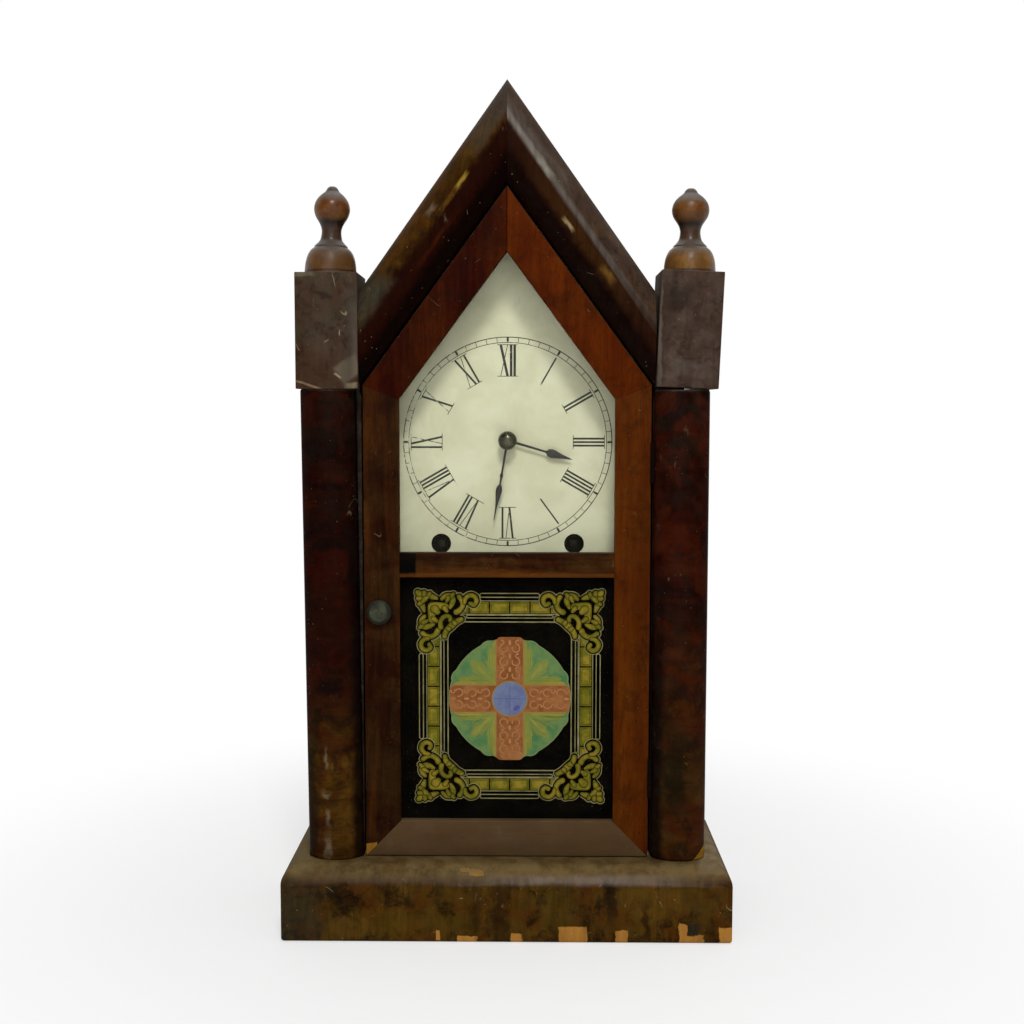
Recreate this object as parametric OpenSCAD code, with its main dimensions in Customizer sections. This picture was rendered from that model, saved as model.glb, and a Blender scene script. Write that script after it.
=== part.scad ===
// Cathedral top (sharp gothic) mantel clock, eight-day time and strike.
// Millimetres, +Z up, the dial faces -Y, and the origin is under the middle of the base.

/* [Case] */
// Overall height, from the shelf to the tip of the gable
clock_h = 508; // [490:1:530]
// Angle of each gable slope from the vertical
gable_angle = 35.5; // [34.5:0.1:36.5]
// How far the base stands out past the columns
base_out = 14.1; // [11:0.1:20]
// Height of the base
base_h = 45.6; // [40:0.1:54]
// Gap between a side moulding of the base and the case
base_gap = 3; // [1:0.5:6]
// Radius of the rounded top edge of the base
base_round = 11; // [4:0.5:16]
// Thickness of the floor board between the base mouldings
floor_t = 12; // [8:0.5:20]
// Distance from the front of the base to the front of the case
front_setback = 25; // [23:0.5:30]
// Half of the width over the side boards
side_x = 105; // [102:0.5:108]
// Thickness of the side boards
side_t = 10; // [7:0.5:12]
// Thickness of the roof boards
roof_t = 9; // [6:0.5:12]
// Thickness of the back board
back_t = 6; // [4:0.5:8]
// Thickness of the frame that the mouldings are glued on
frame_t = 14; // [13:0.5:16]
// Width of the door stop left by the rebate in the frame
stop_w = 4; // [2:0.5:5]

/* [Columns and gable moulding] */
// Distance from the edge of the frame to the inner edge of a column
column_edge = 0.2; // [0:0.1:2]
// How far a column stands out of the frame
column_proj = 13; // [10:0.5:14]
// How much of that the curve of a column's face takes up
column_rise = 8; // [6:0.5:10]
// Distance from the middle of the clock to the outer edge of a column
column_x = 119.9; // [119:0.1:122]
// Lean of the left column, outwards towards its top
column_lean = 0.5; // [0:0.1:0.6]
// Distance from the tip of the gable down to the top of the columns
column_drop = 179.8; // [170:0.1:184]
// Width of the gable moulding
rafter_w = 36; // [33:0.5:38]
// How far the gable moulding stands out of the frame
rafter_proj = 13; // [10:0.5:14]

/* [Blocks and finials] */
// Depth of a block
block_d = 40; // [34:0.5:50]
// Height of a block
block_h = 67.6; // [50:0.2:75]
// How far a block stands out past the outer edge of its column
block_out = 3.5; // [1:0.1:6]
// How far a block stands out in front of the columns
block_front = 0.8; // [0.2:0.1:4]
// Lean of the right block, whose glue has let go
block_lean = 2.4; // [0:0.1:3]
// Lean of each finial on its block, towards the gable
finial_lean = 2; // [0:0.1:3]
// Height of a finial
finial_h = 51.7; // [40:0.1:60]
// Radius of a finial's foot
finial_foot_r = 15.4; // [12:0.1:17]
// Radius of a finial's ball
finial_ball_r = 10.6; // [8:0.1:12]
// Radius of a finial's neck
finial_neck_r = 5.75; // [4:0.05:7]
// Height of the right finial as a share of the left one's, as each is turned by hand
finial_share = 0.96; // [0.9:0.01:1.05]

/* [Door] */
// Half of the width of the door
door_x = 85.2; // [84:0.1:86]
// Distance from the tip of the gable down to the tip of the door
door_drop = 61.7; // [58:0.1:70]
// Height from the door's shoulders, where its sides end, to its tip
door_rise = 115.8; // [110:0.1:120]
// Thickness of the door
door_t = 12; // [10:0.5:12.5]
// How far the front of the door stands out of the frame
door_proud = 4.9; // [1:0.1:6]
// Gap round the door
door_gap = 1.5; // [1.4:0.1:2]
// Gap under the door
door_under = 0.5; // [0.4:0.1:2]
// Width of an upright of the door
stile_w = 21.1; // [17:0.1:24]
// Width of the bottom rail of the door
bottom_rail_w = 21.6; // [14:0.1:26]
// Width of the middle rail of the door
middle_rail_w = 14.8; // [11:0.1:20]
// Distance from the tip of the door down to the tip of the dial opening
tip_w = 37.7; // [32:0.1:42]
// Distance from the door's shoulders down to the shoulders of the dial opening
shoulder_w = 8.3; // [6:0.1:12]
// Width of the rebate that the glass lies in
rebate_w = 4; // [3:0.1:5]
// Depth of the rebate from the back of the door
rebate_d = 6; // [5:0.1:7]
// Thickness of the glass
glass_t = 2; // [1.6:0.1:3]
// Gap between the edge of the glass and the rebate
glass_gap = 0.4; // [0.2:0.1:1]

/* [Hinges and latch] */
// Distance from the edge of the door to the middle of the hinge pins
hinge_side = 0.8; // [0.7:0.05:0.9]
// How far the hinge pins stand in front of the door
hinge_out = 1.5; // [1.4:0.1:2]
// Height of the lower hinge above the base
hinge_low = 49.4; // [30:0.1:80]
// Distance from the tip of the door down to the upper hinge
hinge_high = 161.3; // [140:0.1:200]
// Length of a hinge
hinge_h = 24; // [18:0.5:30]
// Radius of a hinge's knuckles
knuckle_r = 1.25; // [1:0.05:1.35]
// Radius of a hinge pin
pin_r = 0.6; // [0.5:0.05:0.7]
// Clearance of a pin in the knuckle that turns on it
pin_fit = 0.05; // [0.02:0.01:0.09]
// Thickness of a hinge leaf
leaf_t = 0.65; // [0.5:0.05:0.65]
// Depth of a hinge leaf along the edge of the door
leaf_d = 9; // [7:0.5:9.5]
// Distance from the edge of the door to the turn knob
knob_in = 8.9; // [8.2:0.1:11]
// Height of the turn knob above the base
knob_up = 150; // [100:0.1:155]
// Radius of the turn knob
knob_r = 7.4; // [5:0.1:9]
// Thickness of the turn knob
knob_t = 5; // [3:0.1:7]
// Radius of the knob's spindle
spindle_r = 2.2; // [1.5:0.1:2.6]
// Length of the latch tongue from the spindle
tongue_l = 13; // [11:0.5:15]
// Width of the latch tongue
tongue_w = 6; // [5:0.5:7]
// Thickness of the latch tongue
tongue_t = 1.5; // [1:0.1:2]
// Gap between the tongue and the back of the frame
tongue_gap = 0.3; // [0.2:0.1:1]

/* [Dial and hands] */
// Distance from the front of the case to the face of the dial
dial_setback = 23.9; // [22:0.1:25]
// Thickness of the dial sheet
dial_t = 0.8; // [0.5:0.1:1.2]
// How far the dial reaches past the sides of its opening
dial_over = 18; // [15:0.5:19]
// How far the dial reaches below its opening
dial_under = 12; // [8:0.5:13]
// Distance from the tip of the gable down to the centre of the dial
dial_drop = 210.6; // [205:0.1:220]
// Distance from the centre of the dial down to the middle rail
dial_low = 66.3; // [60:0.1:70]
// Radius of the hole for the hand arbor
dial_hole_r = 5.5; // [4.5:0.1:7]
// Distance from the middle of the clock to each winding arbor
wind_x = 41; // [38:0.1:44]
// Distance from the centre of the dial down to the winding arbors
wind_drop = 63.7; // [58:0.1:66]
// Radius of the winding holes
wind_hole_r = 6.1; // [5:0.1:7]
// Length of the minute hand
minute_l = 50.6; // [44:0.1:56]
// Length of the hour hand
hour_l = 41.7; // [32:0.1:43]
// Clockwise angle of the minute hand from twelve
minute_at = 189.7; // [0:0.1:360]
// Clockwise angle of the hour hand from twelve
hour_at = 106.5; // [0:0.1:360]
// Thickness of the hands
hand_t = 0.8; // [0.5:0.1:1]
// Radius of the ball-shaped hand nut
nut_r = 5.7; // [4:0.1:7]
// How far the dial laps onto a cleat
cleat_lap = 6.1; // [5:0.1:10]
// Depth of a dial cleat
cleat_d = 12; // [8:0.5:14]
// Radius of a dial tack
tack_r = 0.7; // [0.5:0.1:1]

/* [Movement] */
// Distance from the back of the dial to the front plate
plate_setback = 14.8; // [14.4:0.1:16]
// Distance between the plates
plates_apart = 35.3; // [33:0.1:45]
// Thickness of the plates
plate_t = 1.6; // [1.2:0.1:2]
// Half of the width of the plates
plate_x = 68; // [67:0.5:72]
// Distance from the centre of the dial down to the bottom of the plates
plate_down = 91.4; // [88:0.1:95]
// Distance from the centre of the dial up to the top of the plates
plate_up = 63.6; // [62:0.1:75]
// Radius of a pillar
pillar_r = 3; // [2:0.1:4]
// Radius of an arbor
arbor_r = 1.4; // [1.2:0.1:1.6]
// Radius of a pivot
pivot_r = 0.7; // [0.5:0.05:1]
// Running clearance of pivots and pipes
run_fit = 0.05; // [0.02:0.01:0.09]
// Radius of a winding arbor
wind_r = 3; // [2.5:0.1:3.5]
// Width across the flats of the winding square
square_w = 4; // [3:0.1:4.2]
// Outer radius of a mainspring
spring_r = 24; // [20:0.5:24.5]
// Inner radius of a mainspring
spring_in = 6.6; // [6:0.1:7.5]
// Thickness of the mainspring strip as drawn
spring_t = 1; // [0.6:0.1:1.2]
// Turns of a mainspring
spring_turns = 7; // [4:1:8]
// Gap between the floor board and the end of the pendulum
pendulum_gap = 22.2; // [8:0.1:40]
// Radius of the pendulum bob
bob_r = 22; // [16:0.5:23]
// Thickness of the pendulum bob
bob_t = 9; // [6:0.5:12]
// Radius of the pendulum rod
rod_r = 1; // [0.7:0.1:1.1]

/* [Gong] */
// Distance of the gong's centre to the left of the middle
gong_x = 45; // [44:0.5:47]
// Distance from the plates down to the gong's centre
gong_drop = 66; // [60:0.5:75]
// Outer radius of the gong
gong_r = 36; // [30:0.5:36.5]
// Turns of the gong
gong_turns = 5; // [4:1:6]
// Thickness of the gong strip
gong_t = 1.6; // [1:0.1:2.2]
// Width of the gong strip, along the depth of the clock
gong_strip_w = 3; // [2:0.1:4]
// Gap between the hammer and the gong
hammer_gap = 1; // [0.5:0.1:2]

/* [Hidden] */
$fn = 48;

// Colours as the wood, metal and paint look
rosewood = [0.27, 0.12, 0.07];
dark_wood = [0.16, 0.08, 0.06];
door_wood = [0.34, 0.14, 0.07];
base_wood = [0.26, 0.18, 0.10];
fruit_wood = [0.42, 0.22, 0.10];
pine = [0.62, 0.46, 0.28];
dial_paint = [0.86, 0.87, 0.76];
glass_tint = [0.8, 0.88, 0.85];
brass = [0.72, 0.56, 0.26];
steel = [0.42, 0.43, 0.45];
blued_steel = [0.10, 0.11, 0.15];
iron = [0.16, 0.16, 0.17];
tablet_black = [0.05, 0.05, 0.06];

// Heights
column_top = clock_h - column_drop;
door_apex = clock_h - door_drop;
door_shoulder = door_apex - door_rise;
open_apex = door_apex - tip_w;
open_shoulder = door_shoulder - shoulder_w;
dial_z = clock_h - dial_drop;
dial_bottom = dial_z - dial_low;
tablet_top = dial_bottom - middle_rail_w;
tablet_bottom = base_h + door_under + bottom_rail_w;
wind_z = dial_z - wind_drop;
plate_bottom = dial_z - plate_down;
plate_top = dial_z + plate_up;
gong_z = plate_bottom - gong_drop;
knob_z = base_h + knob_up;

// Distances from the middle of the clock
jamb_x = door_x + door_gap;
column_in = jamb_x + column_edge;
column_w = column_x - column_in;
block_w = column_w + block_out;
open_x = door_x - stile_w;
hinge_x = door_x + hinge_side;
knob_x = door_x - knob_in;
base_w = 2 * (column_x + base_out);
base_wall = base_w / 2 - side_x - base_gap;

// Planes from front to back
base_d = front_setback + dial_setback + dial_t + plate_setback + plates_apart + 2 * plate_t + back_t;
base_front = -base_d / 2;
case_back = base_d / 2;
frame_y = base_front + front_setback;
frame_back = frame_y + frame_t;
board_y = case_back - back_t;
door_y = frame_y - door_proud;
door_back = door_y + door_t;
dial_y = frame_y + dial_setback;
dial_back = dial_y + dial_t;
plate_y = dial_back + plate_setback;
plate_in = plate_y + plate_t;
back_in = board_y - plate_t;

// Slopes
slope = tan(gable_angle);
eave_z = clock_h - side_x / slope;
roof_drop = roof_t / sin(gable_angle);
door_slope = atan(door_x / (door_apex - door_shoulder));
open_slope = atan(open_x / (open_apex - open_shoulder));

// Longer than any part of the clock, for the shapes that only cut
far = 400;

// An outline in X and Z, carried from y0 back to y1
module slab(points, y0, y1) {
  translate([0, y1, 0]) rotate([90, 0, 0]) linear_extrude(y1 - y0) polygon(points);
}

// A round bar along Y
module bar(x, z, r, y0, y1) {
  translate([x, y1, z]) rotate([90, 0, 0]) cylinder(r = r, h = y1 - y0);
}

// The same outline on the other side of the clock
function flip(points) = [for (p = points) [-p[0], p[1]]];

// The point at angle a on a circle of radius r round c
function around(c, r, a) = [c[0] + r * cos(a), c[1] + r * sin(a)];

// Angle of the line from a to b
function angle_to(a, b) = atan2(b[1] - a[1], b[0] - a[0]);

// Where two circles round a and b meet, on the right of the line from a to b
function meet(a, ra, b, rb) =
  let (
    d = norm(b - a),
    along = (ra * ra - rb * rb + d * d) / (2 * d),
    off = sqrt(ra * ra - along * along),
    u = (b - a) / d
  )
  [a[0] + along * u[0] + off * u[1], a[1] + along * u[1] - off * u[0]];

// Base

// A straight length of base moulding along X, its rounded edge towards -Y
module base_strip(length) {
  difference() {
    translate([-length / 2, 0, 0]) cube([length, base_wall, base_h]);
    translate([-length / 2 - 1, -1, base_h - base_round]) difference() {
      cube([length + 2, base_round + 1, base_round + 1]);
      translate([-1, base_round + 1, 0]) rotate([0, 90, 0]) cylinder(r = base_round, h = length + 4);
    }
  }
}

// The plan that a base moulding is cut to, mitred at the front corners
module base_plan(points) {
  translate([0, 0, -1]) linear_extrude(base_h + 2) polygon(points);
}

module base_front_moulding() {
  color(base_wood) intersection() {
    translate([0, base_front, 0]) base_strip(base_w);
    base_plan([
      [-base_w / 2, base_front], [base_w / 2, base_front],
      [base_w / 2 - base_wall, base_front + base_wall], [base_wall - base_w / 2, base_front + base_wall]
    ]);
  }
}

module base_side() {
  intersection() {
    translate([-base_w / 2, 0, 0]) rotate([0, 0, -90]) base_strip(base_d);
    base_plan([
      [-base_w / 2, base_front], [base_wall - base_w / 2, base_front + base_wall],
      [base_wall - base_w / 2, case_back], [-base_w / 2, case_back]
    ]);
  }
}

module base_left_moulding() {
  color(base_wood) base_side();
}

module base_right_moulding() {
  color(base_wood) mirror([1, 0, 0]) base_side();
}

floor_x = base_w / 2 - base_wall;

module floor_board() {
  color(pine) translate([-floor_x, base_front + base_wall, base_h - floor_t])
    cube([2 * floor_x, board_y - base_front - base_wall, floor_t]);
}

// Case

back_under = 3;
case_outline = [
  [-side_x, back_under], [side_x, back_under], [side_x, eave_z], [0, clock_h], [-side_x, eave_z]
];

module back_board() {
  color(pine) difference() {
    slab(case_outline, board_y, case_back);
    for (p = screw_places) bar(p[0], p[1], screw_r, board_y - 1, board_y + screw_bite);
    bar(-gong_x, gong_z, gong_screw_r, board_y - 1, case_back + 1);
  }
}

// Height of the underside of the roof at a distance x from the middle
function under_roof(x) = clock_h - x / slope - roof_drop;

module side_board() {
  slab([
    [-side_x, base_h], [side_t - side_x, base_h],
    [side_t - side_x, under_roof(side_x - side_t)], [-side_x, under_roof(side_x)]
  ], frame_back, board_y);
}

module side_board_left() {
  color(pine) side_board();
}

module side_board_right() {
  color(pine) mirror([1, 0, 0]) side_board();
}

module roof_board() {
  slab([
    [0, clock_h], [-side_x, eave_z], [-side_x, eave_z - roof_drop], [0, clock_h - roof_drop]
  ], frame_back, board_y);
}

module roof_board_left() {
  color(base_wood) roof_board();
}

module roof_board_right() {
  color(base_wood) mirror([1, 0, 0]) roof_board();
}

// The outline that the frame and mouldings leave free for the door
gap_apex = door_apex + door_gap / sin(door_slope);
gap_shoulder = gap_apex - jamb_x / tan(door_slope);
door_space = [
  [-jamb_x, 0], [jamb_x, 0], [jamb_x, gap_shoulder], [0, gap_apex], [-jamb_x, gap_shoulder]
];

stop_y = door_back + 0.4;

// The left half of the frame: an upright behind the column and a board behind the gable moulding
module front_frame() {
  difference() {
    translate([-column_x, frame_y, base_h])
      cube([column_x - jamb_x + stop_w, frame_t, column_top - base_h]);
    translate([-jamb_x, frame_y - 1, 0]) cube([far, stop_y - frame_y + 1, far]);
  }
  difference() {
    slab([
      [-side_x, column_top], [0, column_top], [0, clock_h], [-side_x, eave_z]
    ], frame_y, frame_back);
    slab(door_space, frame_y - 1, frame_back + 1);
  }
}

module front_frame_left() {
  color(pine) front_frame();
}

module front_frame_right() {
  color(pine) mirror([1, 0, 0]) front_frame();
}

// Radius of a half-round moulding that is w wide and stands out by p
function bow(w, p) = (w * w / 4 + p * p) / (2 * p);

module gable_moulding() {
  difference() {
    translate([0, 0, clock_h]) rotate([0, 180 + gable_angle, 0]) mirror([1, 0, 0]) intersection() {
      translate([rafter_w / 2, frame_y - rafter_proj + bow(rafter_w, rafter_proj), -far / 4])
        cylinder(r = bow(rafter_w, rafter_proj), h = far, $fn = 96);
      translate([0, frame_y - rafter_proj - 1, -far / 4]) cube([rafter_w, rafter_proj + 1, far]);
    }
    translate([0, frame_y - far / 2, 0]) cube([far, far, 2 * far]);
    translate([-far - column_in, frame_y - far / 2, 0]) cube([far, far, 2 * far]);
    slab(door_space, frame_y - far / 4, frame_y + 1);
  }
}

module gable_moulding_left() {
  color(dark_wood) gable_moulding();
}

module gable_moulding_right() {
  color(dark_wood) mirror([1, 0, 0]) gable_moulding();
}

// A column that leans about its foot, cut off level at both ends
module column(lean) {
  spare = 5;
  intersection() {
    translate([-column_x, frame_y - column_proj, base_h]) rotate([0, -lean, 0]) translate([0, 0, -spare])
      intersection() {
        translate([column_w / 2, bow(column_w, column_rise), 0])
          cylinder(r = bow(column_w, column_rise), h = column_top - base_h + 2 * spare, $fn = 96);
        translate([0, -1, 0]) cube([column_w, column_proj + 1, column_top - base_h + 2 * spare]);
      }
    translate([-far / 2, -far / 2, base_h]) cube([far, far, column_top - base_h]);
  }
}

module column_left() {
  color(rosewood) column(column_lean);
}

module column_right() {
  color(rosewood) mirror([1, 0, 0]) column(0);
}

// Blocks and finials

block_outer = column_x + block_out;
block_y = frame_y - column_proj - block_front;

// Turns what it holds about the lower outer corner of the right block
module right_lean() {
  translate([block_outer, 0, column_top]) rotate([0, block_lean, 0])
    translate([-block_outer, 0, -column_top]) children();
}

module block_blank() {
  translate([block_outer - block_w, block_y, column_top]) cube([block_w, block_d, block_h]);
}

module block_left() {
  color(dark_wood) difference() {
    mirror([1, 0, 0]) block_blank();
    slab(case_outline, frame_y, case_back);
  }
}

module block_right() {
  color(dark_wood) difference() {
    right_lean() block_blank();
    slab(case_outline, frame_y, case_back);
  }
}

// Radius and height, as fractions between the sizes above, smoothed into one turned profile
function finial_points(f, n, b, h) = [
  [f, 0], [f * 0.98, h * 0.09], [f * 0.958, h * 0.141], [f * 0.92, h * 0.19], [f * 0.86, h * 0.236],
  [f * 0.775, h * 0.276], [f * 0.68, h * 0.3], [f * 0.642, h * 0.313], [f * 0.635, h * 0.325],
  [f * 0.55, h * 0.35], [n * 1.16, h * 0.39], [n * 1.05, h * 0.437], [n, h * 0.486], [n * 1.05, h * 0.53],
  [b * 0.66, h * 0.577], [b * 0.795, h * 0.622], [b * 0.92, h * 0.667], [b, h * 0.737],
  [b * 0.95, h * 0.805], [b * 0.84, h * 0.852], [b * 0.66, h * 0.897], [b * 0.4, h * 0.941],
  [b * 0.33, h * 0.965], [b * 0.24, h * 0.989], [b * 0.16, h]
];

// A Catmull-Rom curve through points, with n steps from each to the next
function curve_at(a, b, c, d, t) =
  0.5 * (2 * b + t * (c - a) + t * t * (2 * a - 5 * b + 4 * c - d) + t * t * t * (3 * b - a - 3 * c + d));
function curve(p, n) = [
  for (i = [0:len(p) - 2])
    for (k = [0:n - 1])
      curve_at(p[max(i - 1, 0)], p[i], p[i + 1], p[min(i + 2, len(p) - 1)], k / n),
  p[len(p) - 1]
];

// A finial whose foot is cut to its lean, as a share of the full height, and as much stouter
module finial_blank(share) {
  spare = 1;
  stout = 2 - share;
  h = finial_h * share;
  points = finial_points(finial_foot_r, finial_neck_r * stout, finial_ball_r * stout, h);
  translate([block_outer - block_w / 2, block_y + block_d / 2, column_top + block_h]) intersection() {
    rotate([0, -finial_lean, 0]) rotate_extrude($fn = 72)
      polygon(concat([[0, -spare], [finial_foot_r, -spare]], curve(points, 2), [[0, h]]));
    translate([-far / 2, -far / 2, 0]) cube(far);
  }
}

module finial_left() {
  color(fruit_wood) mirror([1, 0, 0]) finial_blank(1);
}

module finial_right() {
  color(fruit_wood) right_lean() finial_blank(finial_share);
}

// Door

door_bottom = base_h + door_under;
rebate_y = door_back - rebate_d;

// Outline of the dial opening, made larger by o all round
function dial_opening(o, o_bottom) =
  let (
    apex = open_apex + o / sin(open_slope),
    x = open_x + o,
    shoulder = apex - x / tan(open_slope),
    bottom = dial_bottom - o_bottom
  )
  [[-x, bottom], [x, bottom], [x, shoulder], [0, apex], [-x, shoulder]];

// Outline of the tablet opening, made larger by o all round
function tablet_opening(o) = [
  [-open_x - o, tablet_bottom - o], [open_x + o, tablet_bottom - o],
  [open_x + o, tablet_top + o], [-open_x - o, tablet_top + o]
];

// A piece of the door cut to an outline, with the rebates for the glass cut out of its back
module door_piece(points) {
  difference() {
    slab(points, door_y, door_back);
    slab(dial_opening(rebate_w, rebate_w), rebate_y, door_back + 1);
    slab(tablet_opening(rebate_w), rebate_y, door_back + 1);
    children();
  }
}

stile_outline = [
  [-door_x, door_bottom], [-open_x, tablet_bottom], [-open_x, open_shoulder], [-door_x, door_shoulder]
];
gable_outline = [
  [-door_x, door_shoulder], [-open_x, open_shoulder], [0, open_apex], [0, door_apex]
];

module door_stile_left() {
  color(door_wood) door_piece(stile_outline)
    bar(-knob_x, knob_z, spindle_r + run_fit, door_y - 1, door_back + 1);
}

module door_stile_right() {
  color(door_wood) door_piece(flip(stile_outline));
}

module door_bottom_rail() {
  color(dark_wood) door_piece([
    [-door_x, door_bottom], [door_x, door_bottom], [open_x, tablet_bottom], [-open_x, tablet_bottom]
  ]);
}

module door_middle_rail() {
  color(door_wood) door_piece([
    [-open_x, tablet_top], [open_x, tablet_top], [open_x, dial_bottom], [-open_x, dial_bottom]
  ]);
}

module door_gable_left() {
  color(door_wood) door_piece(gable_outline);
}

module door_gable_right() {
  color(door_wood) door_piece(flip(gable_outline));
}

pane_o = rebate_w - glass_gap;

module dial_glass() {
  color(glass_tint, 0.3) slab(dial_opening(pane_o, pane_o), rebate_y, rebate_y + glass_t);
}

module tablet_glass() {
  color(tablet_black) slab(tablet_opening(pane_o), rebate_y, rebate_y + glass_t);
}

// Hinges and latch

hinge_y = door_y - hinge_out;
leaf_start = hinge_y + knuckle_r + 0.3;
knuckle_gap = 0.2;
knuckle_h = hinge_h / 3 - knuckle_gap / 2;
hinge_places = [base_h + hinge_low - hinge_h / 2, door_apex - hinge_high - hinge_h / 2];

// A round length of hinge from height z0 up to z1
module knuckle(r, z0, z1) {
  translate([hinge_x, hinge_y, z0]) cylinder(r = r, h = z1 - z0, $fn = 32);
}

// The leaf on the edge of the door, with the middle knuckle
module door_leaf(z) {
  middle = [z + hinge_h / 2 - knuckle_h / 2, z + hinge_h / 2 + knuckle_h / 2];
  difference() {
    union() {
      translate([door_x, leaf_start, z]) cube([leaf_t, leaf_d, hinge_h]);
      translate([door_x, hinge_y, middle[0]]) cube([leaf_t, leaf_start - hinge_y + 1, knuckle_h]);
      knuckle(knuckle_r, middle[0], middle[1]);
    }
    knuckle(pin_r + pin_fit, z - 1, z + hinge_h + 1);
  }
}

// The leaf on the frame, with the two outer knuckles and the pin
module case_leaf(z) {
  low = z + hinge_h / 2 - knuckle_h / 2 - knuckle_gap;
  high = z + hinge_h / 2 + knuckle_h / 2 + knuckle_gap;
  translate([jamb_x - leaf_t, leaf_start, z]) cube([leaf_t, leaf_d, hinge_h]);
  for (span = [[z, low], [high, z + hinge_h]]) {
    translate([jamb_x - leaf_t, hinge_y, span[0]])
      cube([leaf_t, leaf_start - hinge_y + 1, span[1] - span[0]]);
    knuckle(knuckle_r, span[0], span[1]);
  }
  knuckle(pin_r, z, z + hinge_h);
}

module hinge_door_leaves() {
  color(brass) for (z = hinge_places) door_leaf(z);
}

module hinge_case_leaves() {
  color(brass) for (z = hinge_places) case_leaf(z);
}

knob_lift = 0.3;
tongue_y = frame_back + tongue_gap;

module door_knob() {
  color(steel) {
    translate([-knob_x, door_y - knob_lift, knob_z]) rotate([90, 0, 0]) rotate_extrude() polygon([
      [0, 0], [knob_r * 0.8, 0], [knob_r, knob_t * 0.3], [knob_r, knob_t * 0.6],
      [knob_r * 0.72, knob_t], [0, knob_t]
    ]);
    bar(-knob_x, knob_z, spindle_r, door_y - knob_lift - knob_t / 2, tongue_y);
  }
}

// The tongue hangs down, clear of the frame, until the knob is turned
module latch_tongue() {
  color(steel) {
    translate([-knob_x - tongue_w / 2, tongue_y, knob_z - tongue_l]) cube([tongue_w, tongue_t, tongue_l]);
    bar(-knob_x, knob_z, tongue_w / 2, tongue_y, tongue_y + tongue_t);
  }
}

// Dial

cleat_x = side_x - side_t;
cleat_w = cleat_x - open_x - dial_over + cleat_lap;
cleat_low = wind_z - 8;
cleat_high = open_shoulder;
tack_x = open_x + dial_over - 3;
tack_l = 8;
tack_places = [
  for (s = [-1, 1]) for (f = [0.1, 0.5, 0.9]) [s * tack_x, cleat_low + f * (cleat_high - cleat_low)]
];

module dial_plate() {
  color(dial_paint) difference() {
    slab(dial_opening(dial_over, dial_under), dial_y, dial_back);
    bar(0, dial_z, dial_hole_r, dial_y - 1, dial_back + 1);
    for (s = [-1, 1]) bar(s * wind_x, wind_z, wind_hole_r, dial_y - 1, dial_back + 1);
    for (p = tack_places) bar(p[0], p[1], tack_r, dial_y - 1, dial_back + 1);
  }
}

module dial_cleats() {
  color(pine) difference() {
    for (s = [-1, 1]) translate([s > 0 ? cleat_x - cleat_w : -cleat_x, dial_back, cleat_low])
      cube([cleat_w, cleat_d, cleat_high - cleat_low]);
    for (p = tack_places) bar(p[0], p[1], tack_r, dial_back - 1, dial_y + tack_l);
  }
}

module dial_tacks() {
  color(brass) for (p = tack_places) {
    bar(p[0], p[1], tack_r, dial_y, dial_y + tack_l);
    translate([p[0], dial_y, p[1]]) rotate([90, 0, 0]) rotate_extrude() polygon([
      [0, 0], [tack_r * 2.6, 0], [tack_r * 2, tack_r * 0.9], [tack_r, tack_r * 1.3], [0, tack_r * 1.4]
    ]);
  }
}

// Places of the arbors, as [x, z]

time_at = [wind_x, wind_z];
strike_at = [-wind_x, wind_z];
centre_at = [0, dial_z];

// Tooth counts and modules
great_n = 68;
second_leaves = 12;
second_n = 70;
centre_leaves = 12;
centre_n = 64;
centre_m = 0.7;
train_leaves = 8;
third_n = 60;
third_m = 0.6;
escape_n = 60;
escape_r = 14;
pin_wheel_n = 60;
pin_wheel_m = 0.8;
stop_wheel_n = 56;
stop_wheel_m = 0.65;
motion_leaves = 12;
minute_wheel_n = 36;
minute_leaves = 10;
hour_wheel_n = 40;
motion_m = 0.75;

// Directions from one arbor of a train to the next
third_bearing = 108;
escape_bearing = 28;
strike_second_bearing = 85.7;
strike_third_bearing = 73;
fly_bearing = 113;
minute_wheel_bearing = 225;

// Distance between the centres of a wheel and the pinion that it meshes with
function reach(wheel_n, leaves, m) = m * (wheel_n + leaves) / 2;

// The first two pairs just span the way from the winding arbor to the centre of the dial
second_to_great = 0.85;
spare_reach = 1.007;
great_m = spare_reach * norm(centre_at - time_at)
  / (reach(great_n, second_leaves, 1) + reach(second_n, centre_leaves, second_to_great));
second_m = second_to_great * great_m;

second_at = meet(
  time_at, reach(great_n, second_leaves, great_m),
  centre_at, reach(second_n, centre_leaves, second_m)
);
third_at = around(centre_at, reach(centre_n, train_leaves, centre_m), third_bearing);
escape_at = around(third_at, reach(third_n, train_leaves, third_m), escape_bearing);
strike_second_at = around(strike_at, reach(great_n, second_leaves, great_m), strike_second_bearing);
strike_third_at = around(
  strike_second_at, reach(pin_wheel_n, train_leaves, pin_wheel_m), strike_third_bearing
);
fly_at = around(strike_third_at, reach(stop_wheel_n, train_leaves, stop_wheel_m), fly_bearing);
minute_wheel_at = around(centre_at, reach(minute_wheel_n, motion_leaves, motion_m), minute_wheel_bearing);
motion_m2 = 2 * norm(minute_wheel_at - centre_at) / (hour_wheel_n + minute_leaves);
verge_lift = 16;
verge_at = [escape_at[0], escape_at[1] + verge_lift];
hammer_at = [0, plate_bottom + 7];
pillar_places = [
  [0, plate_bottom + 21], [-plate_x + 3, dial_z - 14.3], [plate_x - 8, dial_z - 12.3],
  [-plate_x + 12, plate_top - 14],
  [plate_x - 26, plate_top - 14]
];
screw_places = [for (sx = [-1, 1]) for (z = [plate_bottom + 6, plate_top - 7]) [sx * (plate_x - 6), z]];
screw_r = 1.6;
screw_bite = 4;

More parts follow.
